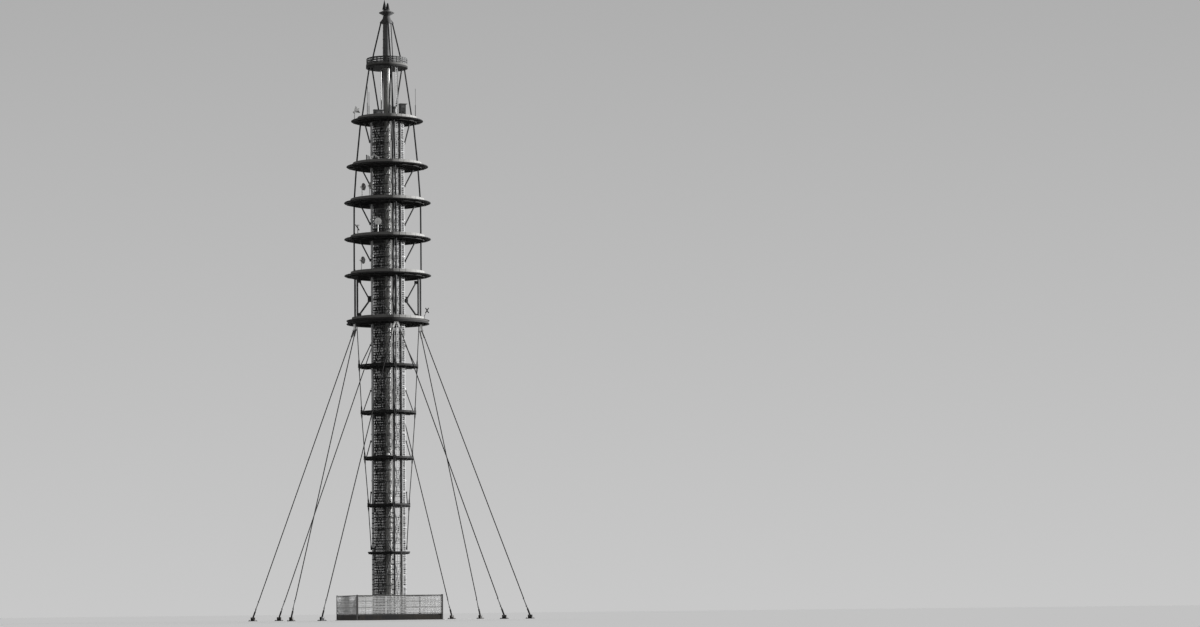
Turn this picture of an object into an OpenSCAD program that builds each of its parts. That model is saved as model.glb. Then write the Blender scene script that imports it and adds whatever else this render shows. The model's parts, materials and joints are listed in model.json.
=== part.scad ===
// Guyed radio mast, a scale model at half size: a round column inside a square
// lattice of four legs, six round decks, a lookout, a cage of tendons over five
// rings, eight guys and a low screen round the foot. Millimetres, up is +Z.

/* [Foot] */
// Side of the square base plate
base_side = 2900; // [2600:10:3200]
// Thickness of the base plate
base_t = 70; // [40:5:120]
// Diameter of the circle of anchor bolts in the base plate
bolt_circle_d = 2560; // [2450:10:2580]
// Diameter of each anchor bolt hole
bolt_hole_d = 52; // [30:1:70]
// Diameter of the round pedestal under the column
pedestal_d = 900; // [700:10:1200]
// Height of the pedestal
pedestal_h = 160; // [80:10:300]
// Diameter of the foot flange of a leg
foot_flange_d = 340; // [260:10:420]
// Thickness of a foot flange
foot_flange_t = 45; // [20:5:80]

/* [Column] */
// Diameter of the column below the guy deck
column_lower_d = 540; // [440:10:640]
// Diameter of the column between the guy deck and the lookout
column_upper_d = 470; // [400:10:540]
// Diameter of the joint flanges on the column
column_flange_d = 680; // [560:10:760]
// Thickness of one joint flange
column_flange_t = 40; // [20:5:80]

/* [Legs and lattice] */
// Distance of each leg's centre from the axis
leg_place_r = 1000; // [850:10:1150]
// Diameter of a leg
leg_d = 170; // [110:5:220]
// Diameter of the splice flanges on a leg
splice_d = 240; // [190:5:300]
// Height of a pair of splice flanges
splice_h = 60; // [30:5:90]
// Width of a lattice bar that lies level
strut_w = 46; // [25:1:70]
// Width of a slanting lattice bar
diagonal_w = 38; // [20:1:60]
// Thickness of the lattice, square to its face
lattice_t = 40; // [20:1:60]
// Greatest height between two level bars
strut_pitch = 735; // [500:5:1000]

/* [Rings] */
// Height of the underside of the lowest ring
ring_1_z = 4140; // [3600:10:4600]
// Height of the underside of the second ring
ring_2_z = 7050; // [6500:10:7500]
// Height of the underside of the third ring
ring_3_z = 9970; // [9400:10:10400]
// Height of the underside of the fourth ring
ring_4_z = 12810; // [12300:10:13300]
// Height of the underside of the top ring
ring_5_z = 15700; // [15200:10:16200]
// Radius of the lowest ring
ring_1_r = 1310; // [1250:10:1500]
// Radius of the second ring
ring_2_r = 1300; // [1250:10:1500]
// Radius of the third ring
ring_3_r = 1520; // [1400:10:1650]
// Radius of the fourth ring
ring_4_r = 1710; // [1600:10:1850]
// Radius of the top ring
ring_5_r = 1860; // [1750:10:2000]
// Height of a ring's rim
ring_rim_h = 125; // [80:5:180]
// Height of the lowest ring's rim
ring_1_rim_h = 75; // [50:5:125]
// Thickness of a ring's floor
ring_floor_t = 30; // [15:5:50]
// Thickness of a rim, measured outwards
rim_t = 45; // [20:5:80]
// Width of a saddle, the block on a rim that a tendon bears on
saddle_w = 170; // [100:5:240]
// How far a saddle stands above and below its rim
saddle_rise = 75; // [40:5:120]

/* [Decks] */
// Height of the underside of deck 1, which carries the guys
deck_1_z = 18460; // [18000:10:18900]
// Height of the underside of deck 2
deck_2_z = 21390; // [21000:10:21800]
// Height of the underside of deck 3
deck_3_z = 23680; // [23300:10:24100]
// Height of the underside of deck 4
deck_4_z = 25975; // [25600:5:26400]
// Height of the underside of deck 5
deck_5_z = 28260; // [27800:10:28600]
// Height of the underside of deck 6
deck_6_z = 31150; // [30700:5:31500]
// Radius of deck 1
deck_1_r = 2590; // [2450:10:2750]
// Radius of deck 2
deck_2_r = 2710; // [2550:10:2850]
// Radius of deck 3
deck_3_r = 2710; // [2550:10:2850]
// Radius of deck 4
deck_4_r = 2710; // [2550:10:2850]
// Radius of deck 5
deck_5_r = 2560; // [2400:10:2700]
// Radius of deck 6
deck_6_r = 2260; // [2100:10:2400]
// Thickness of a deck's floor
floor_t = 50; // [25:5:80]
// Height of a deck's kerb above its underside
kerb_h = 270; // [200:5:350]
// Height of the kerb of deck 1
kerb_1_h = 345; // [250:5:420]
// Thickness of a kerb
kerb_t = 30; // [15:1:50]
// Width of the lip of a deck outside its kerb
lip_w = 400; // [300:5:440]
// Width of the lip of deck 1
lip_1_w = 345; // [250:5:370]
// Height of the channel that rims deck 1
channel_h = 230; // [180:5:300]
// Width of a flange of that channel
channel_w = 90; // [60:5:150]
// Thickness of the channel
channel_t = 28; // [15:1:40]

/* [Lookout] */
// Height of the underside of the lookout
lookout_z = 34540; // [34000:10:34800]
// Radius of the lookout's floor
lookout_r = 1310; // [1200:10:1450]
// Height of the kerb round the lookout above its underside
lookout_kerb_h = 220; // [150:5:300]
// Height of the lookout's handrail above its floor
handrail_h = 565; // [400:5:650]
// Diameter of a handrail tube
handrail_d = 34; // [20:1:50]
// Number of handrail posts
handrail_posts = 16; // [8:1:24]
// Number of level rails
handrail_levels = 4; // [2:1:6]

/* [Posts, braces and tendons] */
// Distance of the outer posts from the axis at deck 1
post_1_r = 2030; // [1900:10:2150]
// Distance of the outer posts from the axis at decks 2 and 3
post_2_r = 2150; // [2000:10:2250]
// Distance of the outer posts from the axis at deck 4
post_4_r = 2140; // [2000:10:2250]
// Distance of the outer posts from the axis at deck 5
post_5_r = 1985; // [1850:5:2100]
// Distance of the outer posts from the axis at deck 6
post_6_r = 1700; // [1600:10:1800]
// Distance of the outer stays from the axis at the lookout
post_7_r = 1140; // [1050:10:1200]
// Diameter of an outer post
post_d = 100; // [60:5:130]
// Diameter of each of the two tubes of a post between decks 1 and 2
twin_post_d = 115; // [80:5:150]
// Distance between the centres of the two tubes
twin_pitch = 150; // [130:5:240]
// Diameter of a knee brace
knee_d = 90; // [40:2:110]
// Diameter of a stay of the mast head
stay_d = 80; // [30:2:90]
// Diameter of a tendon of the cage
tendon_d = 52; // [30:2:70]
// Diameter of a brace above a ring
ring_brace_d = 60; // [30:2:80]

/* [Guys] */
// Diameter of a guy
guy_d = 60; // [30:1:70]
// Distance of the guys' upper ends from the axis
guy_head_r = 2130; // [1950:10:2250]
// Drop of the guys' upper ends below deck 1
guy_head_drop = 480; // [300:10:550]
// How far the guys of the X sides reach out
guy_reach_x = 7420; // [6500:10:8500]
// How far the guys of the Y sides reach out
guy_reach_y = 6100; // [5500:10:7500]
// How far a guy's foot lies to the side of its head
guy_side = 5650; // [5000:10:6200]
// Height of the pin that holds a guy's foot
guy_foot_z = 190; // [140:5:260]

/* [Screen] */
// Side of the square screen round the foot
screen_side = 5440; // [5000:10:6000]
// Height of the screen's top edge
screen_top = 1530; // [1300:10:1800]
// Height of the screen's bottom edge
screen_bottom = 375; // [200:5:500]
// Thickness of a screen panel
screen_t = 30; // [15:1:50]
// Number of boards in a screen panel
screen_boards = 12; // [5:1:16]
// Share of a screen panel's height that the boards fill
board_share = 0.45; // [0.3:0.05:0.8]
// Side of a screen post
screen_post = 90; // [60:5:120]

/* [Ladders and feeders] */
// Width of the climbing ladder
ladder_w = 260; // [200:5:300]
// Width of the cable ladder
cable_ladder_w = 360; // [300:5:400]
// Width of the feeder rack
feeder_rack_w = 460; // [360:5:520]
// Distance between rungs
rung_pitch = 115; // [100:5:150]
// Diameter or width of a rung
rung_w = 22; // [14:1:30]
// Width of a ladder's side rail
rail_w = 30; // [20:1:40]
// Distance of the ladders outside the lattice face
ladder_out = 170; // [150:5:220]
// Diameter of a feeder on the rack
feeder_d = 46; // [25:1:60]
// Number of feeders on the rack
feeder_count = 6; // [2:1:7]
// Diameter of the two risers beside the climbing ladder
riser_d = 90; // [50:5:120]

/* [Aerials] */
// Diameter of the round dishes
dish_d = 440; // [300:10:520]
// Length of a whip aerial
whip_h = 2060; // [1000:10:2400]
// Diameter of a whip aerial
whip_d = 26; // [16:1:40]
// Height of a dish's centre above its deck
dish_rise = 930; // [500:10:1100]

/* [Hidden] */
$fn = 48;

// Clearance between pieces that touch
fit = 0.3;
// Clearance round what passes through a floor
pass = 0.6;

ring_z = [ring_1_z, ring_2_z, ring_3_z, ring_4_z, ring_5_z];
ring_r = [ring_1_r, ring_2_r, ring_3_r, ring_4_r, ring_5_r];
ring_h = [ring_1_rim_h, ring_rim_h, ring_rim_h, ring_rim_h, ring_rim_h];
deck_z = [deck_1_z, deck_2_z, deck_3_z, deck_4_z, deck_5_z, deck_6_z];
deck_r = [deck_1_r, deck_2_r, deck_3_r, deck_4_r, deck_5_r, deck_6_r];
post_r = [post_1_r, post_2_r, post_2_r, post_4_r, post_5_r, post_6_r];

// Undersides and tops of every floor that the shaft passes, from below
floor_under = concat(ring_z, deck_z);
floor_top = concat([for (z = ring_z) z + ring_floor_t],
    [for (z = deck_z) z + floor_t]);
bay_low = concat([base_t], floor_top);
bay_high = floor_under;

face_w = leg_place_r * sqrt(2);
leg_face = leg_place_r + leg_d / 2;
pad_t = 20;
bracket_t = 80;
beam_w = 130;
beam_h = screen_bottom - 75;
guy_head_side = 220;
saddle_reach = 50;
channel_drop = 85;
lookout_kerb_t = 25;
edge_chamfer = 15;
pin_d = 60;
leg_top = deck_6_z + floor_t + 120;
column_joint = deck_1_z + floor_t + 260;
lookout_top = lookout_z + floor_t;
spire_top = 37400;
spire_foot_d = 450;
spire_top_d = 345;
collar_h = 460;
hat_h = 380;
stay_head_r = spire_top_d / 2 + 210;
twin_inside = post_1_r - twin_pitch / 2 - twin_post_d / 2;
guy_head_z = deck_1_z - guy_head_drop;
ladder_top = lookout_z - fit;
ladder_place = 0.26;
riser_place = 0.53;
cable_place = 0.75;
feeder_place = 0.42;

// A point on the line from one leg to the next, moved outwards by a distance
module on_face(turn, share, out) {
    rotate([0, 0, turn])
        translate([-face_w / 2 + share * face_w, -face_w / 2 - out, 0])
            children();
}

// The four places of the legs, posts, stays and guys
module four_ways() {
    for (turn = [0, 90, 180, 270]) rotate([0, 0, turn]) children();
}

// A round bar between two points, cut back by a gap at each end
module rod(from, to, d, gap = 0) {
    run = to - from;
    length = norm(run);
    tilt = acos(run[2] / length);
    way = atan2(run[1], run[0]);
    translate(from) rotate([0, tilt, way]) translate([0, 0, gap])
        cylinder(d = d, h = length - 2 * gap, $fn = 24);
}

// How far a tilted round bar is cut back so that its end clears a floor
function seat_gap(from, to, d) = let (run = to - from,
    rise = abs(run[2]), away = norm([run[0], run[1]]))
    (fit + d / 2 * away / norm(run)) * norm(run) / rise;

// A round bar that stands on one floor and ends under the next
module standing_rod(from, to, d) {
    rod(from, to, d, seat_gap(from, to, d));
}

// An upright gusset between two distances from the axis
module gusset(z, from, to, h) {
    translate([from, -pad_t / 2, z - h / 2]) cube([to - from, pad_t, h]);
}

// A gusset on the outer side of a leg
module leg_gusset(z, reach, h) {
    gusset(z, leg_face + fit, leg_face + reach, h);
}

// Holes in a floor for the column, the legs, the ladders and the feeders
module shaft_holes(z, t, column_d) {
    translate([0, 0, z - 1]) {
        cylinder(d = column_d + 2 * pass, h = t + 2);
        four_ways() translate([leg_place_r, 0, 0])
            cylinder(d = leg_d + 2 * pass, h = t + 2);
        on_face(45, ladder_place, ladder_out)
            slot(ladder_w, rail_w, t);
        on_face(45, cable_place, ladder_out)
            slot(cable_ladder_w, rail_w, t);
        on_face(-45, feeder_place, ladder_out)
            slot(feeder_rack_w, rail_w + 2 * feeder_d, t);
        riser_places() cylinder(d = riser_d + 2 * pass, h = t + 2);
    }
}

module slot(w, depth, t) {
    translate([-w / 2 - pass, -depth / 2 - pass, 0])
        cube([w + 2 * pass, depth + 2 * pass, t + 2]);
}

module riser_places() {
    for (side = [-1, 1])
        on_face(45, riser_place, ladder_out + side * (riser_d / 2 + 4))
            children();
}

module base_plate() {
    color("dimgray") difference() {
        union() {
            translate([-base_side / 2, -base_side / 2, 0])
                cube([base_side, base_side, base_t]);
            cylinder(d = pedestal_d, h = base_t + pedestal_h);
            for (turn = [0:45:315]) rotate([0, 0, turn + 22.5])
                base_rib();
        }
        for (turn = [0:30:330]) rotate([0, 0, turn + 15])
            translate([bolt_circle_d / 2, 0, -1])
                cylinder(d = bolt_hole_d, h = base_t + 2);
    }
}

// An upright rib between the pedestal and the plate's edge
module base_rib() {
    reach = 300;
    rib_t = 36;
    rotate([90, 0, 0]) translate([0, 0, -rib_t / 2])
        linear_extrude(rib_t) polygon([[pedestal_d / 2 - 20, base_t - 5],
            [pedestal_d / 2 + reach, base_t - 5],
            [pedestal_d / 2 + reach, base_t + 30],
            [pedestal_d / 2 - 20, base_t + pedestal_h - 10]]);
}

module column_flange(z, d) {
    translate([0, 0, z]) cylinder(d = d, h = column_flange_t);
}

module column_lower() {
    foot = base_t + pedestal_h + fit;
    color("gainsboro") {
        translate([0, 0, foot]) cylinder(d = column_lower_d,
            h = column_joint - foot);
        column_flange(foot, column_flange_d);
        column_flange(column_joint - column_flange_t, column_flange_d);
        for (i = [0:4])
            column_flange((bay_low[i] + bay_high[i]) / 2 + 60,
                column_flange_d);
    }
}

module column_upper() {
    foot = column_joint + fit;
    color("gainsboro") {
        translate([0, 0, foot]) cylinder(d = column_upper_d,
            h = lookout_z - foot - fit);
        column_flange(foot, column_flange_d);
        column_flange(lookout_z - fit - column_flange_t,
            column_flange_d - 60);
        for (i = [6, 8, 10])
            column_flange((bay_low[i] + bay_high[i]) / 2, column_flange_d);
    }
}

// The tapered pole above the lookout
module spire() {
    z0 = lookout_top + fit;
    color("silver") {
        translate([0, 0, z0]) rotate_extrude()
            polygon([[0, 0], [spire_foot_d / 2 + 90, 0],
                [spire_foot_d / 2 + 90, column_flange_t],
                [spire_foot_d / 2, column_flange_t],
                [spire_top_d / 2, spire_top - z0],
                [0, spire_top - z0]]);
    }
}

// The drum at the head of the spire, with an ear over each stay
module head_collar() {
    drum_r = stay_head_r - stay_d / 2;
    ear_r = stay_head_r + stay_d / 2 + 10;
    neck_r = 240;
    ear_t = 40;
    color("dimgray") translate([0, 0, spire_top + fit]) {
        rotate_extrude() polygon([[0, 0], [drum_r, 0], [drum_r, 90],
            [neck_r, 0.8 * collar_h], [neck_r, collar_h], [0, collar_h]]);
        four_ways() rotate([90, 0, 0])
            translate([0, 0, -ear_t / 2]) linear_extrude(ear_t)
                polygon([[100, 0], [ear_r, 0], [ear_r, 80],
                    [neck_r, 0.7 * collar_h], [100, 0.7 * collar_h]]);
    }
}

// The flat hat that shades the head
module head_hat() {
    hat_r = 480;
    throat_r = 120;
    tip_z = 215;
    tip_t = 25;
    color("dimgray") translate([0, 0, spire_top + collar_h + 2 * fit])
        rotate_extrude() polygon([[0, 0], [throat_r, 0], [hat_r, tip_z],
            [hat_r, tip_z + tip_t], [220, hat_h], [0, hat_h]]);
}

// The lightning rod on its cone, and the lamp beside it, on one drum
module head_lamp() {
    z0 = spire_top + collar_h + hat_h + 3 * fit;
    color("gray") translate([0, 0, z0]) {
        cylinder(r = 205, h = 60);
        translate([-140, 0, 0]) rotate_extrude() polygon([[0, 0],
            [60, 0], [60, 60], [140, 60], [30, 560], [14, 640], [14, 990],
            [0, 1010]]);
        translate([70, 0, 0]) rotate_extrude() polygon([[0, 0], [60, 0],
            [60, 60], [118, 60], [105, 170], [60, 400], [35, 470],
            [0, 500]]);
    }
}

// A leg with its foot flange and its splices, standing on +X
module leg() {
    foot = base_t + fit;
    translate([leg_place_r, 0, 0]) {
        translate([0, 0, foot]) cylinder(d = leg_d, h = leg_top - foot);
        translate([0, 0, foot]) cylinder(d = foot_flange_d,
            h = foot_flange_t);
        for (i = [1:10]) translate([0, 0, (bay_low[i] + bay_high[i]) / 2
            + splice_h])
            cylinder(d = splice_d, h = splice_h);
    }
}

module leg_east() { color("slategray") leg(); }
module leg_north() { color("slategray") rotate([0, 0, 90]) leg(); }
module leg_west() { color("slategray") rotate([0, 0, 180]) leg(); }
module leg_south() { color("slategray") rotate([0, 0, 270]) leg(); }

// A slanting bar in the plane of a face, from corner to corner of a bay
module slanting(w, low, high, thick) {
    h = high - low;
    translate([0, (low + high) / 2]) rotate(atan2(h, w))
        square([norm([w, h]) + thick, thick], center = true);
}

// One bay of a face: level bars and two crossing bars, ending at the legs
module lattice_bay(low, high) {
    h = high - low;
    clear_w = face_w - leg_d - 2 * fit;
    count = ceil(h / strut_pitch);
    first = foot_flange_t * (low == base_t ? 1 : 0);
    translate([0, lattice_t / 2, low]) rotate([90, 0, 0])
        linear_extrude(lattice_t) intersection() {
            translate([-clear_w / 2, fit + first])
                square([clear_w, h - 2 * fit - first]);
            union() {
                for (i = [0:count])
                    translate([-face_w / 2, i * h / count - strut_w / 2
                        + (i == 0 ? strut_w / 2 + first : 0)
                        - (i == count ? strut_w / 2 : 0)])
                        square([face_w, strut_w]);
                for (side = [0, 1]) mirror([side, 0])
                    slanting(clear_w, first + strut_w / 2,
                        h - strut_w / 2, diagonal_w);
            }
        }
}

// One face of the lattice, in the plane through two legs
module lattice_face(turn) {
    color("slategray") rotate([0, 0, turn])
        translate([0, -face_w / 2, 0])
            for (i = [0:10]) lattice_bay(bay_low[i], bay_high[i]);
}

module lattice_southwest() { lattice_face(-45); }
module lattice_southeast() { lattice_face(45); }
module lattice_northeast() { lattice_face(135); }
module lattice_northwest() { lattice_face(225); }

// A flat ladder of side rails and rungs, in the plane of its face
module flat_ladder(w, from, to, thick) {
    h = to - from;
    rungs = floor((h - rung_pitch) / rung_pitch);
    translate([0, thick / 2, from]) rotate([90, 0, 0])
        linear_extrude(thick) {
            for (side = [-1, 1])
                translate([side * (w - rail_w) / 2 - rail_w / 2, 0])
                    square([rail_w, h]);
            for (i = [0:rungs])
                translate([-w / 2 + 1, rung_pitch * (i + 0.7)])
                    square([w - 2, rung_w]);
        }
}

module climbing_ladder() {
    color("silver") on_face(45, ladder_place, ladder_out)
        flat_ladder(ladder_w, base_t + fit, ladder_top, rail_w);
}

module cable_ladder() {
    color("silver") on_face(45, cable_place, ladder_out)
        flat_ladder(cable_ladder_w, base_t + fit, floor_top[10], rail_w);
}

// The rack with its row of feeders in front
module feeder_rack() {
    pitch = (feeder_rack_w - 2 * rail_w) / feeder_count;
    top = floor_top[10];
    color("dimgray") on_face(-45, feeder_place, ladder_out) {
        translate([0, feeder_d, 0])
            flat_ladder(feeder_rack_w, base_t + fit, top, rail_w);
        for (i = [0:feeder_count - 1])
            translate([-feeder_rack_w / 2 + rail_w + pitch * (i + 0.5),
                feeder_d - rail_w / 2 - feeder_d / 2, base_t + fit])
                cylinder(d = feeder_d, h = top - base_t - fit, $fn = 20);
    }
}

module risers() {
    color("dimgray") riser_places()
        translate([0, 0, base_t + fit])
            cylinder(d = riser_d, h = floor_top[10] - base_t - fit, $fn = 24);
}

// A ring: a floor and a rim, with a saddle at each tendon
module ring(i) {
    z = ring_z[i];
    r = ring_r[i];
    h = ring_h[i];
    color("dimgray") difference() {
        union() {
            translate([0, 0, z]) cylinder(r = r, h = ring_floor_t,
                $fn = 96);
            translate([0, 0, z]) rotate_extrude($fn = 96)
                translate([r - rim_t, 0]) square([rim_t, h]);
            if (i > 0)
                four_ways() translate([r - rim_t, -saddle_w / 2,
                    z - saddle_rise])
                    cube([rim_t + saddle_reach, saddle_w,
                        h + 2 * saddle_rise]);
        }
        shaft_holes(z, ring_floor_t, column_lower_d);
    }
}

module ring_1() { ring(0); }
module ring_2() { ring(1); }
module ring_3() { ring(2); }
module ring_4() { ring(3); }
module ring_5() { ring(4); }

// The channel that rims deck 1, open outwards
module channel_rim(r) {
    web = r - channel_w;
    foot = -channel_drop;
    top = foot + channel_h;
    rotate_extrude($fn = 120) polygon([[web, foot], [r, foot],
        [r, foot + channel_t], [web + channel_t, foot + channel_t],
        [web + channel_t, top - channel_t], [r, top - channel_t],
        [r, top], [web, top]]);
}

// A deck: a floor out to a thin edge, and a kerb set in from it
module deck(i) {
    z = deck_z[i];
    r = deck_r[i];
    guyed = (i == 0);
    kerb_r = r - (guyed ? lip_1_w : lip_w);
    floor_r = guyed ? r - channel_w + channel_t / 2 : r;
    color("dimgray") difference() {
        translate([0, 0, z]) {
            rotate_extrude($fn = 120) polygon([[0, 0],
                [floor_r - 2 * edge_chamfer, 0], [floor_r, edge_chamfer],
                [floor_r, floor_t - edge_chamfer],
                [floor_r - edge_chamfer, floor_t], [0, floor_t]]);
            rotate_extrude($fn = 120) translate([kerb_r - kerb_t, 0])
                square([kerb_t, guyed ? kerb_1_h : kerb_h]);
            if (guyed) channel_rim(r);
        }
        shaft_holes(z, floor_t, guyed ? column_lower_d : column_upper_d);
    }
}

module deck_1() { deck(0); }
module deck_2() { deck(1); }
module deck_3() { deck(2); }
module deck_4() { deck(3); }
module deck_5() { deck(4); }
module deck_6() { deck(5); }

module lookout_deck() {
    color("dimgray") translate([0, 0, lookout_z])
        rotate_extrude($fn = 96) polygon([[0, 0], [lookout_r, 0],
            [lookout_r, lookout_kerb_h],
            [lookout_r - lookout_kerb_t, lookout_kerb_h],
            [lookout_r - lookout_kerb_t, floor_t], [0, floor_t]]);
}

// Posts and level rails round the lookout
module lookout_railing() {
    rail_r = lookout_r - lookout_kerb_t - handrail_d;
    z0 = lookout_top + fit;
    color("silver") translate([0, 0, z0]) {
        for (i = [1:handrail_levels])
            translate([0, 0, handrail_h * i / handrail_levels
                - handrail_d / 2])
                rotate_extrude($fn = 72) translate([rail_r, 0])
                    circle(d = handrail_d, $fn = 16);
        for (i = [0:handrail_posts - 1])
            rotate([0, 0, 360 / handrail_posts * i])
                translate([rail_r, 0, 0])
                    cylinder(d = handrail_d * 0.9,
                        h = handrail_h - handrail_d / 2, $fn = 12);
    }
}

// The outer posts: two tubes from deck 1 to deck 2, then one up to deck 6
module outer_posts() {
    color("slategray") four_ways() {
        for (side = [-0.5, 0.5])
            standing_rod([post_1_r + side * twin_pitch, 0, floor_top[5]],
                [post_1_r + side * twin_pitch, 0, deck_2_z], twin_post_d);
        for (i = [1:4])
            standing_rod([post_r[i], 0, floor_top[5 + i]],
                [post_r[i + 1], 0, deck_z[i + 1]], post_d);
    }
}

// A pad and an upright plate on a floor (up = 1) or under it (up = -1),
// and a round bar from the plate to a point nearer the mast
module seated_bar(r, z, up, inner, d) {
    pad_w = 2 * d;
    plate_h = pad_t + 1.5 * d;
    translate([r - pad_w / 2, 0, z + up * fit]) {
        translate([0, -pad_w / 2, min(up * pad_t, 0)])
            cube([pad_w, pad_w, pad_t]);
        translate([0, -pad_t / 2, min(up * plate_h, 0)])
            cube([pad_w, pad_t, plate_h]);
    }
    rod(inner, [r, 0, z + up * (fit + pad_t + 0.8 * d)], d);
}

// A bar from a floor to a gusset on the leg
module leg_brace(r, z, up, leg_z, d) {
    leg_gusset(leg_z, 90, 2 * d);
    seated_bar(r, z, up, [leg_face + 50, 0, leg_z], d);
}

// Two bars from the head and foot of the twin posts to one drum on the leg
module k_brace() {
    lower_d = knee_d + 25;
    node_h = 380;
    node_reach = 210;
    node_z = (floor_top[5] + deck_2_z) / 2;
    drum = [leg_face + 110, 0, node_z - 70];
    foot = [twin_inside - 80, 0, floor_top[5] + 460];
    head = [twin_inside - 80, 0, deck_2_z - 345];
    rod(drum - [0, 0, 55], foot, lower_d);
    rod(drum + [0, 0, 50], head, knee_d);
    for (end = [foot, head])
        gusset(end[2], twin_inside - 190, twin_inside - fit, 2.2 * knee_d);
    leg_gusset(node_z, node_reach, node_h);
    translate(drum + [0, lower_d / 2 + pad_t, 0]) rotate([90, 0, 0])
        cylinder(d = 1.3 * lower_d, h = lower_d + 2 * pad_t);
}

// Knee braces under decks 3 to 6, and the K braces between decks 1 and 2
module knee_braces() {
    top_share = [0.823, 0.82, 0.844, 0.853];
    drop_share = [0.563, 0.562, 0.488, 0.446];
    color("slategray") four_ways() {
        k_brace();
        for (i = [0:3]) {
            z = deck_z[i + 2];
            leg_brace(post_r[i + 2] * top_share[i], z, -1,
                z - (z - deck_z[i + 1]) * drop_share[i], knee_d);
        }
    }
}

// The cage: tendons from deck 1 over the rims of the rings to the legs
module tendons() {
    lug_z = ring_1_z + 300;
    lug_r = leg_face + 45;
    place = concat([lug_r], [for (i = [1:4]) ring_r[i]],
        [post_1_r - 30]);
    top = concat([lug_z], [for (i = [1:4]) ring_z[i] + ring_h[i]
        + saddle_rise]);
    under = concat([for (i = [1:4]) ring_z[i] - saddle_rise], [deck_1_z]);
    color("dimgray") four_ways() {
        leg_gusset(lug_z - 40, 90, 160);
        rod([place[0], 0, lug_z - 60], [place[1], 0, under[0]
            - seat_gap([place[0], 0, lug_z], [place[1], 0, under[0]],
            tendon_d)], tendon_d);
        for (i = [1:4])
            standing_rod([place[i], 0, top[i]],
                [place[i + 1], 0, under[i]], tendon_d);
    }
}

// Braces from the rims of the rings up to the legs
module ring_braces() {
    rise = [0, 800, 1060, 1370, 1330];
    color("slategray") four_ways() for (i = [1:4])
        leg_brace(ring_r[i] - rim_t - fit - ring_brace_d, floor_top[i], 1,
            floor_top[i] + rise[i], ring_brace_d);
}

// Stays of the head: deck 6 to the lookout, and the lookout to the collar
module head_stays() {
    inner_foot_r = 440;
    color("slategray") four_ways() {
        standing_rod([post_6_r - 60, 0, floor_top[10]],
            [post_7_r, 0, lookout_z], stay_d);
        standing_rod([inner_foot_r, 0, floor_top[10]],
            [post_7_r - 180, 0, lookout_z], stay_d);
        standing_rod([1050, 0, lookout_top],
            [stay_head_r, 0, spire_top], stay_d);
    }
}

// A hanging yoke for two guys, on +X: a pad with two straps that spread
module guy_bracket() {
    pad = [160, 300, 20];
    top = deck_1_z - fit;
    translate([guy_head_r - pad[0] / 2, -pad[1] / 2, top - pad[2]])
        cube(pad);
    translate([guy_head_r - bracket_t / 2, 0, 0]) rotate([90, 0, 90])
        linear_extrude(bracket_t) for (side = [-1, 1]) scale([side, 1])
            polygon([[-35, top], [90, top],
                [guy_head_side + 0.8 * guy_d, guy_head_z],
                [guy_head_side - 0.8 * guy_d, guy_head_z]]);
}

module guy_brackets() { color("gray") four_ways() guy_bracket(); }

// A guy with a socket at each end, under the bracket and against the pin
module guy(head, foot) {
    run = foot - head;
    length = norm(run);
    unit = run / length;
    socket_d = guy_d * 1.9;
    socket_l = 420;
    head_gap = seat_gap(foot, head, socket_d);
    foot_gap = pin_d / 2 + fit;
    rod(head + unit * head_gap, foot - unit * foot_gap, guy_d);
    rod(head + unit * head_gap, head + unit * (head_gap + socket_l),
        socket_d);
    rod(foot - unit * (foot_gap + socket_l), foot - unit * foot_gap,
        socket_d * 0.9);
}

// The two guys of one side, from the bracket to their anchor shoes
module guy_pair(turn, reach) {
    color("dimgray") rotate([0, 0, turn]) for (side = [-1, 1])
        guy([guy_head_r, side * guy_head_side, guy_head_z],
            [reach, side * guy_side, guy_foot_z]);
}

module guys_east() { guy_pair(0, guy_reach_x); }
module guys_north() { guy_pair(90, guy_reach_y); }
module guys_west() { guy_pair(180, guy_reach_x); }
module guys_south() { guy_pair(270, guy_reach_y); }

// A shoe: a foot plate and two cheeks with the pin between them
module anchor_shoe() {
    color("dimgray") {
        translate([-230, -160, 0]) cube([460, 320, 40]);
        for (side = [-1, 1])
            translate([-120, side * 60 - 15, 40]) cube([240, 30, 200]);
        translate([0, -75, guy_foot_z]) rotate([-90, 0, 0])
            cylinder(d = pin_d, h = 150, $fn = 24);
    }
}

module anchor_pair(turn, reach) {
    rotate([0, 0, turn]) for (side = [-1, 1])
        translate([reach, side * guy_side, 0])
            rotate([0, 0, atan2(side * guy_side, reach - guy_head_r)])
                anchor_shoe();
}

module anchor_shoes() {
    for (turn = [0, 180]) anchor_pair(turn, guy_reach_x);
    for (turn = [90, 270]) anchor_pair(turn, guy_reach_y);
}

// A panel of level boards on its two stiles, between the corner posts
module screen_panel(turn) {
    span = screen_side - 2 * screen_post - 2 * fit;
    h = screen_top - screen_bottom;
    pitch = h / screen_boards;
    board = pitch * board_share;
    color("lightgray") rotate([0, 0, turn])
        translate([0, -screen_side / 2 + screen_post / 2 + screen_t / 2,
            0]) rotate([90, 0, 0]) linear_extrude(screen_t) {
            for (i = [0:screen_boards - 1])
                translate([-span / 2, screen_bottom + pitch * i
                    + pitch - board])
                    square([span, board]);
            for (x = [-3:3])
                translate([x * (span - 50) / 6 - 25, screen_bottom])
                    square([50, h]);
        }
}

module screen_south() { screen_panel(0); }
module screen_east() { screen_panel(90); }
module screen_north() { screen_panel(180); }
module screen_west() { screen_panel(270); }

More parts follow.
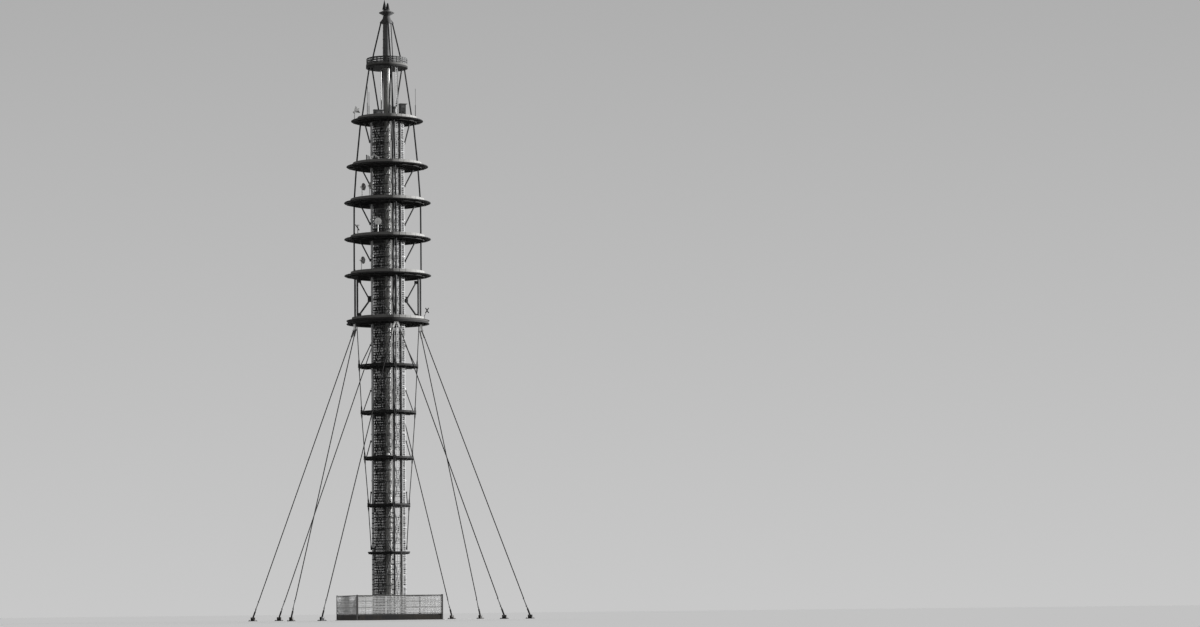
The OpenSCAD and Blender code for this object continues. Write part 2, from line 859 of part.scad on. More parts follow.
// Beams on the floor that carry the screen and tie it to the base plate
module floor_frame() {
    side = screen_side - screen_t;
    inner = side - 2 * beam_w;
    post_w = screen_post + 2 * fit;
    place = screen_side / 2 - screen_post / 2;
    color("dimgray") difference() {
        union() {
            difference() {
                translate([-side / 2, -side / 2, 0])
                    cube([side, side, beam_h]);
                translate([-inner / 2, -inner / 2, -1])
                    cube([inner, inner, beam_h + 2]);
            }
            for (turn = [0, 90, 180, 270], x = [-1, 1])
                rotate([0, 0, turn])
                    translate([x * base_side / 3 - beam_w / 2,
                        base_side / 2 + fit, 0])
                        cube([beam_w, (inner - base_side) / 2 + beam_w / 2,
                            beam_h * 0.7]);
        }
        for (x = [-1, 1], y = [-1, 1])
            translate([x * place - 110 - fit, y * place - 110 - fit, -1])
                cube([220 + 2 * fit, 220 + 2 * fit, beam_h + 2]);
    }
}

module screen_posts() {
    place = screen_side / 2 - screen_post / 2;
    color("gray") for (x = [-1, 1], y = [-1, 1]) {
        translate([x * place - screen_post / 2,
            y * place - screen_post / 2, 0])
            cube([screen_post, screen_post, screen_top + 20]);
        translate([x * place - 110, y * place - 110, 0])
            cube([220, 220, 20]);
    }
}

// A round dish on a post, facing -Y and tilted up; deep is its depth as a
// share of its diameter
module dish(d, post_h, tilt, deep) {
    depth = d * deep;
    post_dish_d = 50;
    back = depth + 10;
    cylinder(d = post_dish_d, h = post_h, $fn = 24);
    translate([0, 0, post_h]) rotate([-tilt, 0, 0])
        translate([0, -post_dish_d / 2 - depth, 0]) rotate([-90, 0, 0])
            rotate_extrude() polygon([[0, depth * 0.55],
                [d * 0.3, depth * 0.2], [d / 2, 0], [d / 2, 12],
                [d * 0.3, depth * 0.6], [60, back], [0, back]]);
}

// Dishes on the decks: [deck, share of the deck's radius, place round the
// axis, way it faces, size, height, tilt, depth]
module dishes() {
    places = [[4, 0.63, 188, -48, 1.05, 1, 0, 0.22],
        [4, 0.53, 205, -50, 1, 1.04, 0, 0.22],
        [3, 0.54, 232, -104, 1, 1.04, 0, 0.22],
        [2, 0.65, 188, -48, 1.05, 0.97, 0, 0.22],
        [6, 0.91, 172, -14, 1.16, 0.62, 32, 0.45]];
    color("whitesmoke") for (p = places)
        rotate([0, 0, p[2]])
            translate([deck_r[p[0] - 1] * p[1], 0, floor_top[4 + p[0]] + fit])
                rotate([0, 0, p[3] - p[2] + 90])
                    dish(dish_d * p[4], dish_rise * p[5], p[6], p[7]);
}

// Equipment boxes on deck 6: [corner, size], each under a lid that laps over
module cabinets() {
    boxes = [[[700, -540], [380, 320, 1050]], [[-960, -520], [560, 260, 610]],
        [[0, -1300], [200, 200, 720]]];
    lid_t = 25;
    lap = [20, 90];
    color("gray") for (b = boxes)
        translate([b[0][0], b[0][1], floor_top[10] + fit]) {
            cube(b[1]);
            translate([-lap[0], -lap[0], b[1][2]])
                cube([b[1][0] + lap[0] + lap[1], b[1][1] + 2 * lap[0],
                    lid_t]);
        }
}

// A whip aerial: a foot, a stout lower half and a thin upper one
module whip(h) {
    foot_h = 120;
    cylinder(d = 70, h = foot_h, $fn = 24);
    translate([0, 0, foot_h])
        cylinder(d = 2 * whip_d, h = h / 2 - foot_h, $fn = 16);
    translate([0, 0, h / 2]) cylinder(d = whip_d, h = h / 2, $fn = 16);
}

// The whips stand on deck 6, a pair on the west side and one on the east
module whips() {
    color("silver") translate([0, 0, floor_top[10] + fit])
        for (p = [[-1395, -520, 1], [-1290, -520, 0.83], [1730, -433, 1]])
            translate([p[0], p[1], 0]) whip(whip_h * p[2]);
}

base_plate();
column_lower();
column_upper();
spire();
head_collar();
head_hat();
head_lamp();
leg_west();
leg_south();
leg_east();
leg_north();
lattice_southwest();
lattice_southeast();
lattice_northeast();
lattice_northwest();
climbing_ladder();
cable_ladder();
feeder_rack();
risers();
ring_1();
ring_2();
ring_3();
ring_4();
ring_5();
deck_1();
deck_2();
deck_3();
deck_4();
deck_5();
deck_6();
lookout_deck();
lookout_railing();
outer_posts();
knee_braces();
tendons();
ring_braces();
head_stays();
guy_brackets();
guys_west();
guys_south();
guys_east();
guys_north();
anchor_shoes();
floor_frame();
screen_west();
screen_south();
screen_east();
screen_north();
screen_posts();
dishes();
cabinets();
whips();
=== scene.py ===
"""A guyed radio mast at half size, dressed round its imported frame.

Metres, up is +Z. The legs, outer posts and guy brackets stand on +X, +Y, -X
and -Y, so the faces of the lattice look along the diagonals.
"""
import json
import math

import bpy
import numpy as np
from mathutils import Matrix, Vector


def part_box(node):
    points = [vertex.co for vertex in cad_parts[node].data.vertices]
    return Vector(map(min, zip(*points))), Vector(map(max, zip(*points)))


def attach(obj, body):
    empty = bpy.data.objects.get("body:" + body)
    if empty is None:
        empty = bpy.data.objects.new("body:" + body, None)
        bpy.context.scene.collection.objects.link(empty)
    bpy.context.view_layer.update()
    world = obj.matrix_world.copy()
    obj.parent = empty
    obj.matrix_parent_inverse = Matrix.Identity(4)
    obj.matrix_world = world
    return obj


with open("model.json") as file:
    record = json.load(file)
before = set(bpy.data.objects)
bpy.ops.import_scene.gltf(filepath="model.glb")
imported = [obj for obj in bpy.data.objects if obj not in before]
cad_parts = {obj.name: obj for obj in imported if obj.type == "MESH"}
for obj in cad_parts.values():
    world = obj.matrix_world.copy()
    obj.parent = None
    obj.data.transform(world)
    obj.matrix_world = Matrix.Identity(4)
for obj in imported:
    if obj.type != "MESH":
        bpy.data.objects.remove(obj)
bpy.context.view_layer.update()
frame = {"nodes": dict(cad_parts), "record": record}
nodes = frame["nodes"]
scene = bpy.context.scene


# The studio: a pale floor, a low hard sun on the right and a broad weak one
# behind, a dim sky, and the camera far off and just above the floor.
def node(tree, kind, settings=None, **inputs):
    """Adds a shader node; an input that is a socket is linked, others are set."""
    made = tree.nodes.new(kind)
    for key, value in (settings or {}).items():
        setattr(made, key, value)
    for key, value in inputs.items():
        socket = made.inputs[key.replace("_", " ")]
        if isinstance(value, bpy.types.NodeSocket):
            tree.links.new(value, socket)
        else:
            socket.default_value = value
    return made


def blank(name):
    """A new material without any shader node, and its empty node tree."""
    material = bpy.data.materials.new(name)
    material.use_nodes = True
    material.node_tree.nodes.clear()
    return material, material.node_tree


def figure(tree, operation, *values):
    """The result of one maths node on sockets."""
    made = node(tree, "ShaderNodeMath", {"operation": operation})
    for value, socket in zip(values, made.inputs):
        tree.links.new(value, socket)
    return made.outputs[0]


def ramp(tree, value, start=(0.0, 1.0), end=(0.0, 1.0)):
    """A value carried from one range to another and held at its ends."""
    ranges = {"From_Min": start[0], "From_Max": start[1], "To_Min": end[0], "To_Max": end[1]}
    return node(tree, "ShaderNodeMapRange", Value=value, **ranges).outputs["Result"]


def noise(tree, place, scale, detail, roughness=0.5):
    """Cloudy noise about a place."""
    cloud = {"Scale": scale, "Detail": detail, "Roughness": roughness}
    return node(tree, "ShaderNodeTexNoise", Vector=place, **cloud).outputs[0]


def sunlight(name, azimuth, elevation, strength, spread):
    """A sun lamp from an azimuth and an elevation in degrees."""
    a, e = math.radians(azimuth), math.radians(elevation)
    way = Vector((math.cos(a) * math.cos(e), math.sin(a) * math.cos(e), math.sin(e)))
    lamp = bpy.data.objects.new(name, bpy.data.lights.new(name, "SUN"))
    lamp.data.energy = strength
    lamp.data.angle = math.radians(spread)
    lamp.rotation_euler = way.to_track_quat("Z", "Y").to_euler()
    scene.collection.objects.link(lamp)


def seen_directly(tree):
    """1 for camera, glossy and transmission rays, 0 for the rays that light."""
    rays = node(tree, "ShaderNodeLightPath").outputs
    first = figure(tree, "MAXIMUM", rays["Is Camera Ray"], rays["Is Glossy Ray"])
    return figure(tree, "MAXIMUM", first, rays["Is Transmission Ray"])


def either(tree, choice, no, yes):
    """A mix of two shaders: the first where the choice is 0, the second where 1."""
    mix = node(tree, "ShaderNodeMixShader", Fac=choice)
    tree.links.new(no.outputs[0], mix.inputs[1])
    tree.links.new(yes.outputs[0], mix.inputs[2])
    return mix.outputs[0]


scene.view_settings.view_transform = "Standard"

photo_camera = bpy.data.objects.new("photo_camera", bpy.data.cameras.new("photo_camera"))
photo_camera.data.sensor_width = 36
photo_camera.data.lens = 96.23
photo_camera.data.clip_end = 9000
camera_place = (-48.384, -194.059, 0.4)
heading, pitch, roll = map(math.radians, (-17.798, 5.302, -0.610))
photo_camera.matrix_world = (
    Matrix.Translation(camera_place)
    @ Matrix.Rotation(heading, 4, "Z")
    @ Matrix.Rotation(math.pi / 2 + pitch, 4, "X")
    @ Matrix.Rotation(roll, 4, "Z")
)
scene.collection.objects.link(photo_camera)
scene.camera = photo_camera

sunlight("low_sun", azimuth=-9, elevation=4, strength=3.6, spread=2.5)
sunlight("back_light", azimuth=74, elevation=38, strength=0.9, spread=30)

white = (1, 1, 1, 1)
sky = bpy.data.worlds.new("sky")
scene.world = sky
sky.use_nodes = True
tree = sky.node_tree
tree.nodes.clear()
way = node(tree, "ShaderNodeTexCoord").outputs["Generated"]
height = node(tree, "ShaderNodeSeparateXYZ", Vector=way).outputs["Z"]
lighting = ramp(tree, height, (0.0, 0.9), (0.04, 0.125))
dim = node(tree, "ShaderNodeBackground", Color=white, Strength=lighting)
backdrop = ramp(tree, height, (0.0, 0.2), (0.58, 0.42))
pale = node(tree, "ShaderNodeBackground", Color=white, Strength=backdrop)
node(tree, "ShaderNodeOutputWorld", Surface=either(tree, seen_directly(tree), dim, pale))

floor_reach, floor_drop = 2500.0, 0.002
floor_mesh = bpy.data.meshes.new("studio_floor")
corners = ((-1, -1), (1, -1), (1, 1), (-1, 1))
floor_corners = [(x * floor_reach, y * floor_reach, -floor_drop) for x, y in corners]
floor_mesh.from_pydata(floor_corners, [], [(0, 1, 2, 3)])
studio_floor = bpy.data.objects.new("studio_floor", floor_mesh)
scene.collection.objects.link(studio_floor)
floor_look, tree = blank("studio_floor")
spot = node(tree, "ShaderNodeTexCoord").outputs["Object"]
tone = ramp(tree, noise(tree, spot, scale=0.35, detail=3.0), end=(0.76, 0.80))
dull = node(tree, "ShaderNodeBsdfDiffuse", Color=(0.16, 0.16, 0.16, 1))
coat = node(tree, "ShaderNodeBsdfDiffuse", Color=tone)
glow = node(tree, "ShaderNodeEmission", Color=white, Strength=0.26)
lit = node(tree, "ShaderNodeAddShader")
tree.links.new(coat.outputs[0], lit.inputs[0])
tree.links.new(glow.outputs[0], lit.inputs[1])
node(tree, "ShaderNodeOutputMaterial", Surface=either(tree, seen_directly(tree), dull, lit))
floor_mesh.materials.append(floor_look)


# The foot: a bolted base plate with ribs, beams on the floor that carry the
# screen, and a pinned shoe for each guy, all in dark brushed-on paint.
def blend(tree, share, first, second):
    """A mix of two colours, each a socket or red, green and blue: (1 - share)
    first + share second."""
    first, second = (c if isinstance(c, bpy.types.NodeSocket) else (*c, 1) for c in (first, second))
    return node(tree, "ShaderNodeMixRGB", Fac=share, Color1=first, Color2=second).outputs["Color"]


def surface(tree, colour, grain, relief, depth, **finish):
    """Ends a material: its shader, on a surface that a grain lifts by a depth."""
    lift = node(tree, "ShaderNodeBump", Height=grain, Strength=relief, Distance=depth).outputs["Normal"]
    shader = node(tree, "ShaderNodeBsdfPrincipled", Base_Color=colour, Normal=lift, **finish)
    node(tree, "ShaderNodeOutputMaterial", Surface=shader.outputs[0])


def steel(
    name, colour, worn, rough=0.55, metal=0.0, shine=0.15, patch=0.9, share=0.5, grain=55.0,
    relief=0.12, below=None, level=0.0,
):
    """A weathered coat: broad patches and rain streaks (noise drawn out along Z)
    mix the colour towards the worn one, and a fine grain lifts the surface. Below
    a level it may have another colour."""
    material, tree = blank(name)
    spot = node(tree, "ShaderNodeTexCoord").outputs["Object"]
    drawn = node(tree, "ShaderNodeMapping", Vector=spot, Scale=(2.6, 2.6, 0.312)).outputs[0]
    run = noise(tree, drawn, scale=2.2, detail=4.0, roughness=0.6)
    blot = noise(tree, spot, scale=patch, detail=5.0, roughness=0.55)
    age = ramp(tree, figure(tree, "ADD", run, blot), (0.82, 1.22), (0.0, share))
    if below:
        height = node(tree, "ShaderNodeSeparateXYZ", Vector=spot).outputs["Z"]
        colour = blend(tree, ramp(tree, height, (level, level + 0.01), (1.0, 0.0)), colour, below)
    aged = blend(tree, age, colour, worn)
    gloss = ramp(tree, run, (0.3, 0.7), (rough - 0.1, rough + 0.12))
    finish = {"Roughness": gloss, "Metallic": metal, "Specular_IOR_Level": shine}
    surface(tree, aged, noise(tree, spot, scale=grain, detail=2.0), relief, depth=0.004, **finish)
    return material


def dress(material, *names):
    """Gives CAD nodes a material."""
    for name in names:
        slots = nodes[name].data.materials
        slots.clear()
        slots.append(material)


def spun(profile, sides, phase=0.0, closed=False):
    """A profile carried round the axis: point (k, i) is (r_k cos u_i, r_k sin u_i,
    z_k) with u_i = phase + 2 pi i / sides. A closed profile joins its own start."""
    r, z = np.asarray(profile, float).T
    u = phase + 2 * np.pi * np.arange(sides) / sides
    points = np.stack([np.outer(r, np.cos(u)), np.outer(r, np.sin(u)), np.repeat(z[:, None], sides, 1)], 2)
    k, i = np.meshgrid(np.arange(len(r) - 1 + closed), np.arange(sides), indexing="ij")
    here, next_row, next_i = k * sides, (k + 1) % len(r) * sides, (i + 1) % sides
    walls = np.stack([here + i, here + next_i, next_row + next_i, next_row + i], -1)
    return points.reshape(-1, 3), walls.reshape(-1, 4)


def revolve(profile, sides, phase=0.0):
    """A closed solid of revolution: a spun profile with a flat cap at each end."""
    points, walls = spun(profile, sides, phase)
    ring = np.arange(sides)
    return points, [walls, np.stack([ring[::-1], len(points) - sides + ring])]


def copies(shape, origins, frames):
    """The shape once for each origin: point = origin + x ex + y ey + z ez, where
    ex, ey and ez are the rows of that copy's frame."""
    points, faces = shape
    origins, frames = np.asarray(origins, float), np.asarray(frames, float)
    moved = origins[:, None, :] + np.einsum("vi,nij->nvj", points, frames)
    step = len(points) * np.arange(len(origins))[:, None, None]
    return moved.reshape(-1, 3), [(f[None] + step).reshape(-1, f.shape[1]) for f in faces]


def along(runs, thick=1.0):
    """Frames whose z row is the run itself; the x row is level or as near to level
    as can be, the y row is square to both, and these two are as long as thick."""
    runs = np.atleast_2d(np.asarray(runs, float))
    unit = runs / np.linalg.norm(runs, axis=1, keepdims=True)
    steep = np.abs(unit[:, 2:]) > 0.999
    ex = np.cross(unit, np.where(steep, [0.0, -1.0, 0.0], [0.0, 0.0, -1.0]))
    ex /= np.linalg.norm(ex, axis=1, keepdims=True)
    return np.stack([ex * thick, np.cross(unit, ex) * thick, runs], 1)


def bars(starts, ends, radius, sides=8):
    """Straight round bars: a unit cylinder stretched from each start to its end."""
    starts, ends = np.atleast_2d(np.asarray(starts, float)), np.atleast_2d(np.asarray(ends, float))
    return copies(revolve([(1, 0), (1, 1)], sides), starts, along(ends - starts, radius))


def around(count, radius, height, first=0.0):
    """Points on a level circle: (r cos u, r sin u, z), u in equal steps."""
    u = np.radians(first + 360 * np.arange(count) / count)
    return np.stack([radius * np.cos(u), radius * np.sin(u), np.full(count, float(height))], 1)


def bolts(feet, width, height, way=(0, 0, 1)):
    """Bolt heads with a chamfered top: a six-sided solid of revolution."""
    head = revolve([(0.5, 0), (0.5, 0.85), (0.42, 1)], 6)
    feet = np.atleast_2d(np.asarray(feet, float))
    rise = np.broadcast_to(np.asarray(way, float), feet.shape) * height
    return copies(head, feet, along(rise, width))


def make(name, shapes, material):
    """Joins shapes into one piece, smooth but for its edges, that rides the mast."""
    starts = np.cumsum([0] + [len(points) for points, _ in shapes])
    points = np.concatenate([points for points, _ in shapes])
    sets = [f + start for (_, faces), start in zip(shapes, starts) for f in faces]
    corners = np.concatenate([f.ravel() for f in sets])
    sizes = np.concatenate([np.full(len(f), f.shape[1]) for f in sets])
    mesh = bpy.data.meshes.new(name)
    mesh.vertices.add(len(points))
    mesh.vertices.foreach_set("co", points.ravel())
    mesh.loops.add(len(corners))
    mesh.loops.foreach_set("vertex_index", corners)
    mesh.polygons.add(len(sizes))
    mesh.polygons.foreach_set("loop_start", np.cumsum(sizes) - sizes)
    mesh.update(calc_edges=True)
    mesh.validate()
    mesh.polygons.foreach_set("use_smooth", np.ones(len(sizes), bool))
    mesh.set_sharp_from_angle(angle=math.radians(48))
    mesh.materials.append(material)
    piece = bpy.data.objects.new(name, mesh)
    scene.collection.objects.link(piece)
    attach(piece, "root")


foot_paint = steel("foot_paint", (0.10, 0.102, 0.105), (0.17, 0.15, 0.13), rough=0.7, share=0.8)
dress(foot_paint, "base_plate", "floor_frame", "anchor_shoes")
zinc = steel("zinc", (0.58, 0.585, 0.59), (0.42, 0.42, 0.41), rough=0.5, metal=0.08, grain=90, share=0.7)

plate_top, bolt_circle_r = 0.070, 1.28
stud_feet = around(12, bolt_circle_r, plate_top, first=15)
anchor_nuts = bolts(stud_feet, width=0.10, height=0.05)
anchor_studs = bars(stud_feet, stud_feet + (0, 0, 0.11), radius=0.022)

leg_low, leg_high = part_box("leg_east")
leg_r = (leg_low.x + leg_high.x) / 2
leg_feet = around(4, leg_r, 0)
foot_flange_t = 0.045
flange_ring = around(8, 0.128, plate_top + foot_flange_t, first=22.5)
flange_bolts = [bolts(flange_ring + foot, width=0.05, height=0.03) for foot in leg_feet]

compass = {"east": (1, 0, 0), "north": (0, 1, 0), "west": (-1, 0, 0), "south": (0, -1, 0)}
anchors = [mount for mount in frame["record"]["mounts"] if mount["name"].startswith("anchor")]
guy_feet = np.array([mount["pos_m"] for mount in anchors])
guy_way = np.array([compass[mount["name"].split("_")[1]] for mount in anchors], float)
guy_aside = np.sign(guy_feet) - guy_way
guy_head_r, shoe_plate_t = 2.13, 0.04
shoe_way = (guy_feet - guy_way * guy_head_r) * (1, 1, 0)
shoe_way /= np.linalg.norm(shoe_way, axis=1, keepdims=True)
shoe_aside = np.stack([-shoe_way[:, 1], shoe_way[:, 0], 0 * shoe_way[:, 0]], 1)
shoe_bolts = [
    bolts(guy_feet + shoe_way * a + shoe_aside * b + (0, 0, shoe_plate_t), width=0.05, height=0.035)
    for a in (-0.18, 0.18)
    for b in (-0.12, 0.12)
]
make("foot_bolts", [anchor_nuts, anchor_studs, *flange_bolts, *shoe_bolts], zinc)


# The column: welded tube lengths joined by bolted flanges, in pale satin paint
# that rain has streaked and worn.
column_paint = steel("column_paint", (0.74, 0.74, 0.72), (0.58, 0.575, 0.56), rough=0.5, patch=0.6)
dress(column_paint, "column_lower", "column_upper")

# Five rings and six decks, from the foot up. Saddles and the channel of deck 1
# hang below their floors.
ring_boxes = [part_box("ring_%d" % i) for i in range(1, 6)]
deck_boxes = [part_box("deck_%d" % i) for i in range(1, 7)]
saddle_rise, channel_drop, ring_floor, deck_floor = 0.075, 0.085, 0.030, 0.050
under = np.array([low.z for low, high in ring_boxes + deck_boxes])
under[1:5] += saddle_rise
under[5] += channel_drop
over = under + np.repeat([ring_floor, deck_floor], [5, 6])
deck_under, deck_over, top_floor = under[5:], over[5:], over[-1]
bay_low, bay_high = np.concatenate([[plate_top], over[:-1]]), under
middle = (bay_low + bay_high) / 2

# Flanges of the column: one at the foot, two where its lengths meet, and one in
# each of the five lowest bays and in every other bay from the seventh up.
column_low_r, column_high_r, column_bolt_r = 0.27, 0.235, 0.305
foot_joint, joint = 0.23, deck_over[0] + 0.26
flanges = [foot_joint, joint - 0.04, joint, *(middle[:5] + 0.06), *middle[[6, 8, 10]]]
column_bolts = [bolts(around(16, column_bolt_r, z - 0.022), width=0.042, height=0.084) for z in flanges]
make("column_bolts", column_bolts, zinc)


# The legs: four steel tubes in pale satin paint, spliced by bolted flanges in
# every bay and tied to the column by spokes, with a pale pipe on the column, a
# dark riser on the south leg, and clips round the legs of the lowest bays. The
# south leg and that pipe have a brighter, more metallic paint than the other
# legs: painted sunlight, for the bright sunlit side of the column.
leg_paint = steel("leg_paint", (0.70, 0.705, 0.71), (0.50, 0.495, 0.49), rough=0.5, metal=0.35, share=0.6)
# Painted sunlight: a brighter, more metallic copy of the leg paint, for the sunlit south leg, the pale pipe
# beside the column and the guy yokes.
painted_sunlight_paint = steel(
    "painted_sunlight_paint", (0.95, 0.95, 0.94), (0.82, 0.815, 0.80), rough=0.5, metal=0.85, relief=0.05
)
spoke_paint = steel("spoke_paint", (0.13, 0.132, 0.135), (0.20, 0.195, 0.19), rough=0.6, share=0.6)
dress(leg_paint, "leg_west", "leg_east", "leg_north")
dress(painted_sunlight_paint, "leg_south")

splice_half_h, splice_bolt_r = 0.058, 0.103
splice_bolts = [
    bolts(around(8, splice_bolt_r, z + splice_half_h) + foot, width=0.032, height=0.064)
    for z in middle[1:]
    for foot in leg_feet
]
make("splice_bolts", splice_bolts, zinc)


def uprights(feet, top, radius, sides):
    """Upright round bars from their feet to one height."""
    feet = np.atleast_2d(np.asarray(feet, float))
    return bars(feet, feet * (1, 1, 0) + (0, 0, top), radius, sides)


lookout_low, lookout_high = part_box("lookout_deck")
lookout_z = lookout_low.z
# Painted sunlight: this pale pipe stands for the bright sunlit side of the column and is not a real
# conduit.
sunlit_strip_pipe = uprights((0.026, -0.389, plate_top), lookout_z, radius=0.042, sides=16)
make("column_sunlit_strip_pipe", [sunlit_strip_pipe], painted_sunlight_paint)

spoke_pitch, spoke_r = 0.33, 0.017
spokes = []
for low, high in zip(bay_low, bay_high):
    column_r = column_low_r if high < joint else column_high_r
    for z in low + 0.22 + np.arange(int((high - low - 0.3) / spoke_pitch)) * spoke_pitch:
        spokes.append(bars(around(4, column_r - 0.005, z), around(4, leg_r - 0.08, z), spoke_r, sides=6))
make("column_spokes", spokes, spoke_paint)
leg_riser = uprights((0.09, -1.10, plate_top), top_floor, radius=0.050, sides=14)
make("leg_riser", [leg_riser], spoke_paint)

clip_r, clip_half_h, clip_pitch, clip_gap = 0.089, 0.035, 0.31, 0.25
clip = revolve([(clip_r, -clip_half_h), (clip_r, clip_half_h)], 16)
clip_z = [np.arange(bay_low[i] + clip_gap, bay_high[i] - clip_gap, clip_pitch) for i in (0, 1)]
clip_rise = np.concatenate(clip_z)[:, None] * (0, 0, 1)
leg_clips = [copies(clip, foot + clip_rise, [np.eye(3)] * len(clip_rise)) for foot in leg_feet]
make("leg_clips", leg_clips, spoke_paint)


# The lattice: flat bars cut and welded in each of the four faces, with a
# gusset where the long diagonals cross and where they meet the legs.
def upright(degrees):
    """Frames turned about Z: rows (cos, sin, 0), (-sin, cos, 0) and (0, 0, 1)."""
    a = np.radians(np.atleast_1d(np.asarray(degrees, float)))
    c, s, o = np.cos(a), np.sin(a), np.zeros(len(a))
    return np.stack([np.stack([c, s, o], 1), np.stack([-s, c, o], 1), np.stack([o, o, o + 1], 1)], 1)


def turned(points, degrees):
    """Points turned about Z, all of them once for each angle."""
    points = np.atleast_2d(np.asarray(points, float))
    return np.einsum("vi,nij->nvj", points, upright(degrees)).reshape(-1, 3)


def blocks(centres, size, degrees=0.0):
    """Upright blocks of one size: a unit square prism, scaled, turned about Z."""
    centres = np.atleast_2d(np.asarray(centres, float))
    frames = upright(np.broadcast_to(degrees, len(centres))) * np.asarray(size, float)[None, :, None]
    corner_r = math.sqrt(0.5)
    return copies(revolve([(corner_r, -0.5), (corner_r, 0.5)], 4, math.pi / 4), centres, frames)


def on_face(degrees, share, out, heights):
    """Points at a share of the way between two legs and a distance outside
    their plane: (share w - w/2, -w/2 - out, z), turned about Z."""
    heights = np.atleast_1d(np.asarray(heights, float))
    flat = np.array([(share - 0.5) * face_w, -face_w / 2 - out, 0])
    return turned(flat, degrees) + heights[:, None] * (0, 0, 1)


def face_blocks(degrees, share, out, heights, size):
    """Blocks of one size on a face, one at each height."""
    return blocks(on_face(degrees, share, out, heights), size, degrees)


lattice_paint = steel("lattice_paint", (0.36, 0.365, 0.37), (0.22, 0.215, 0.21), share=0.6)
dress(lattice_paint, *("lattice_" + w for w in ("southwest", "southeast", "northeast", "northwest")))

face_w = leg_r * math.sqrt(2)
cross_gusset, leg_gusset = (0.17, 0.012, 0.22), (0.11, 0.012, 0.16)
gusset_out, gusset_face = 0.026, 0.032
gussets, gusset_bolts = [], []
for degrees in (-45, 45, 135, 225):
    for out in (-gusset_out, gusset_out):
        gussets.append(face_blocks(degrees, 0.5, out, middle, cross_gusset))
    for share in (0.105, 0.895):
        for heights in (bay_low + 0.10, bay_high - 0.10):
            gussets.append(face_blocks(degrees, share, gusset_out, heights, leg_gusset))
    outward = turned((0, -1, 0), degrees)[0]
    for x, z in ((-0.035, 0.06), (0.035, 0.06), (-0.035, -0.06), (0.035, -0.06)):
        feet = on_face(degrees, 0.5 + x / face_w, gusset_face, middle + z)
        gusset_bolts.append(bolts(feet, width=0.03, height=0.016, way=outward))
make("lattice_gussets", gussets, lattice_paint)
make("gusset_bolts", gusset_bolts, zinc)


# Ladders and feeders: a climbing ladder and a cable ladder on the south-east
# face, black feeders on the south-west one, six on the rack and the rest on
# the clamps and rungs beside and behind it, and two risers.
rung_zinc = steel(
    "rung_zinc", (0.62, 0.625, 0.63), (0.44, 0.44, 0.43), rough=0.5, metal=0.08, grain=90, share=0.7
)
sheath = steel(
    "sheath", (0.11, 0.11, 0.113), (0.18, 0.18, 0.178), rough=0.6, shine=0.1, share=0.7, relief=0.05
)
riser_paint = steel(
    "riser_paint", (0.30, 0.302, 0.305), (0.22, 0.218, 0.215), share=0.6,
    below=(0.62, 0.62, 0.61), level=over[1],
)
dress(rung_zinc, "climbing_ladder", "cable_ladder")
dress(sheath, "feeder_rack")
dress(riser_paint, "risers")


def clear_of_floors(pitch):
    """Heights at a pitch, from the foot to the top of the rack, that no floor is near."""
    heights = np.arange(plate_top + 0.5, top_floor - 0.3, pitch)
    return heights[np.min(np.abs(heights[:, None] - (under + over)[None] / 2), 1) > 0.14]


feeder_face, ladder_face, ladder_out = -45, 45, 0.17
ladder_share, riser_share, cable_share, feeder_share = 0.26, 0.53, 0.75, 0.42
clamp_share, rung_share = 0.462, 0.413
bracket_z, clamp_z, rung_z = clear_of_floors(1.103), clear_of_floors(0.735), clear_of_floors(0.165)

stand_offs = []
for share, rails_w, face in (
    (ladder_share, 0.23, ladder_face),
    (cable_share, 0.33, ladder_face),
    (feeder_share, 0.43, feeder_face),
):
    for aside in (-rails_w / 2, rails_w / 2):
        inner = on_face(face, share + aside / face_w, 0.02, bracket_z)
        outer = on_face(face, share + aside / face_w, ladder_out - 0.05, bracket_z)
        stand_offs.append(bars(inner, outer, radius=0.012, sides=6))
side_arms = face_blocks(ladder_face, 0.90, 0.06, clamp_z[clamp_z < under[1]], size=(0.22, 0.03, 0.06))

side_places = (-0.447, -0.380, 0.152, 0.219, 0.286)
side_feet = [on_face(feeder_face, 0.5 + x / face_w, ladder_out - 0.008, plate_top)[0] for x in side_places]
side_feeders = uprights(side_feet, top_floor, radius=0.023, sides=10)
make("side_feeders", [side_feeders], sheath)
rungs = face_blocks(feeder_face, rung_share, ladder_out - 0.040, rung_z, size=(0.80, 0.02, 0.065))
make("feeder_rungs", [rungs], sheath)
make("ladder_stand_offs", [*stand_offs, side_arms], rung_zinc)
clamps = [
    face_blocks(feeder_face, clamp_share, ladder_out + 0.022, clamp_z, size=(0.75, 0.014, 0.035)),
    face_blocks(feeder_face, clamp_share, ladder_out - 0.045, clamp_z, size=(0.75, 0.020, 0.035)),
    face_blocks(ladder_face, riser_share + 0.13, ladder_out + 0.055, clamp_z, size=(0.46, 0.016, 0.055)),
    face_blocks(ladder_face, riser_share, ladder_out - 0.10, clamp_z, size=(0.14, 0.012, 0.05)),
]
make("feeder_clamps", clamps, zinc)


# The rings: plate floors with a rim, on radial ribs and a hoop; on the four
# upper ones the tendons bear on bolted saddles.
ring_paint = steel(
    "ring_paint", (0.055, 0.056, 0.058), (0.10, 0.098, 0.095), rough=0.6, shine=0.1, share=0.7
)
dress(ring_paint, *("ring_%d" % i for i in range(1, 6)))


def band(radius, thick, low, high, sides=96):
    """A hoop of upright plate: its section, a rectangle, spun round the axis."""
    inner, outer = radius - thick / 2, radius + thick / 2
    points, walls = spun([(outer, low), (outer, high), (inner, high), (inner, low)], sides, closed=True)
    return points, [walls]


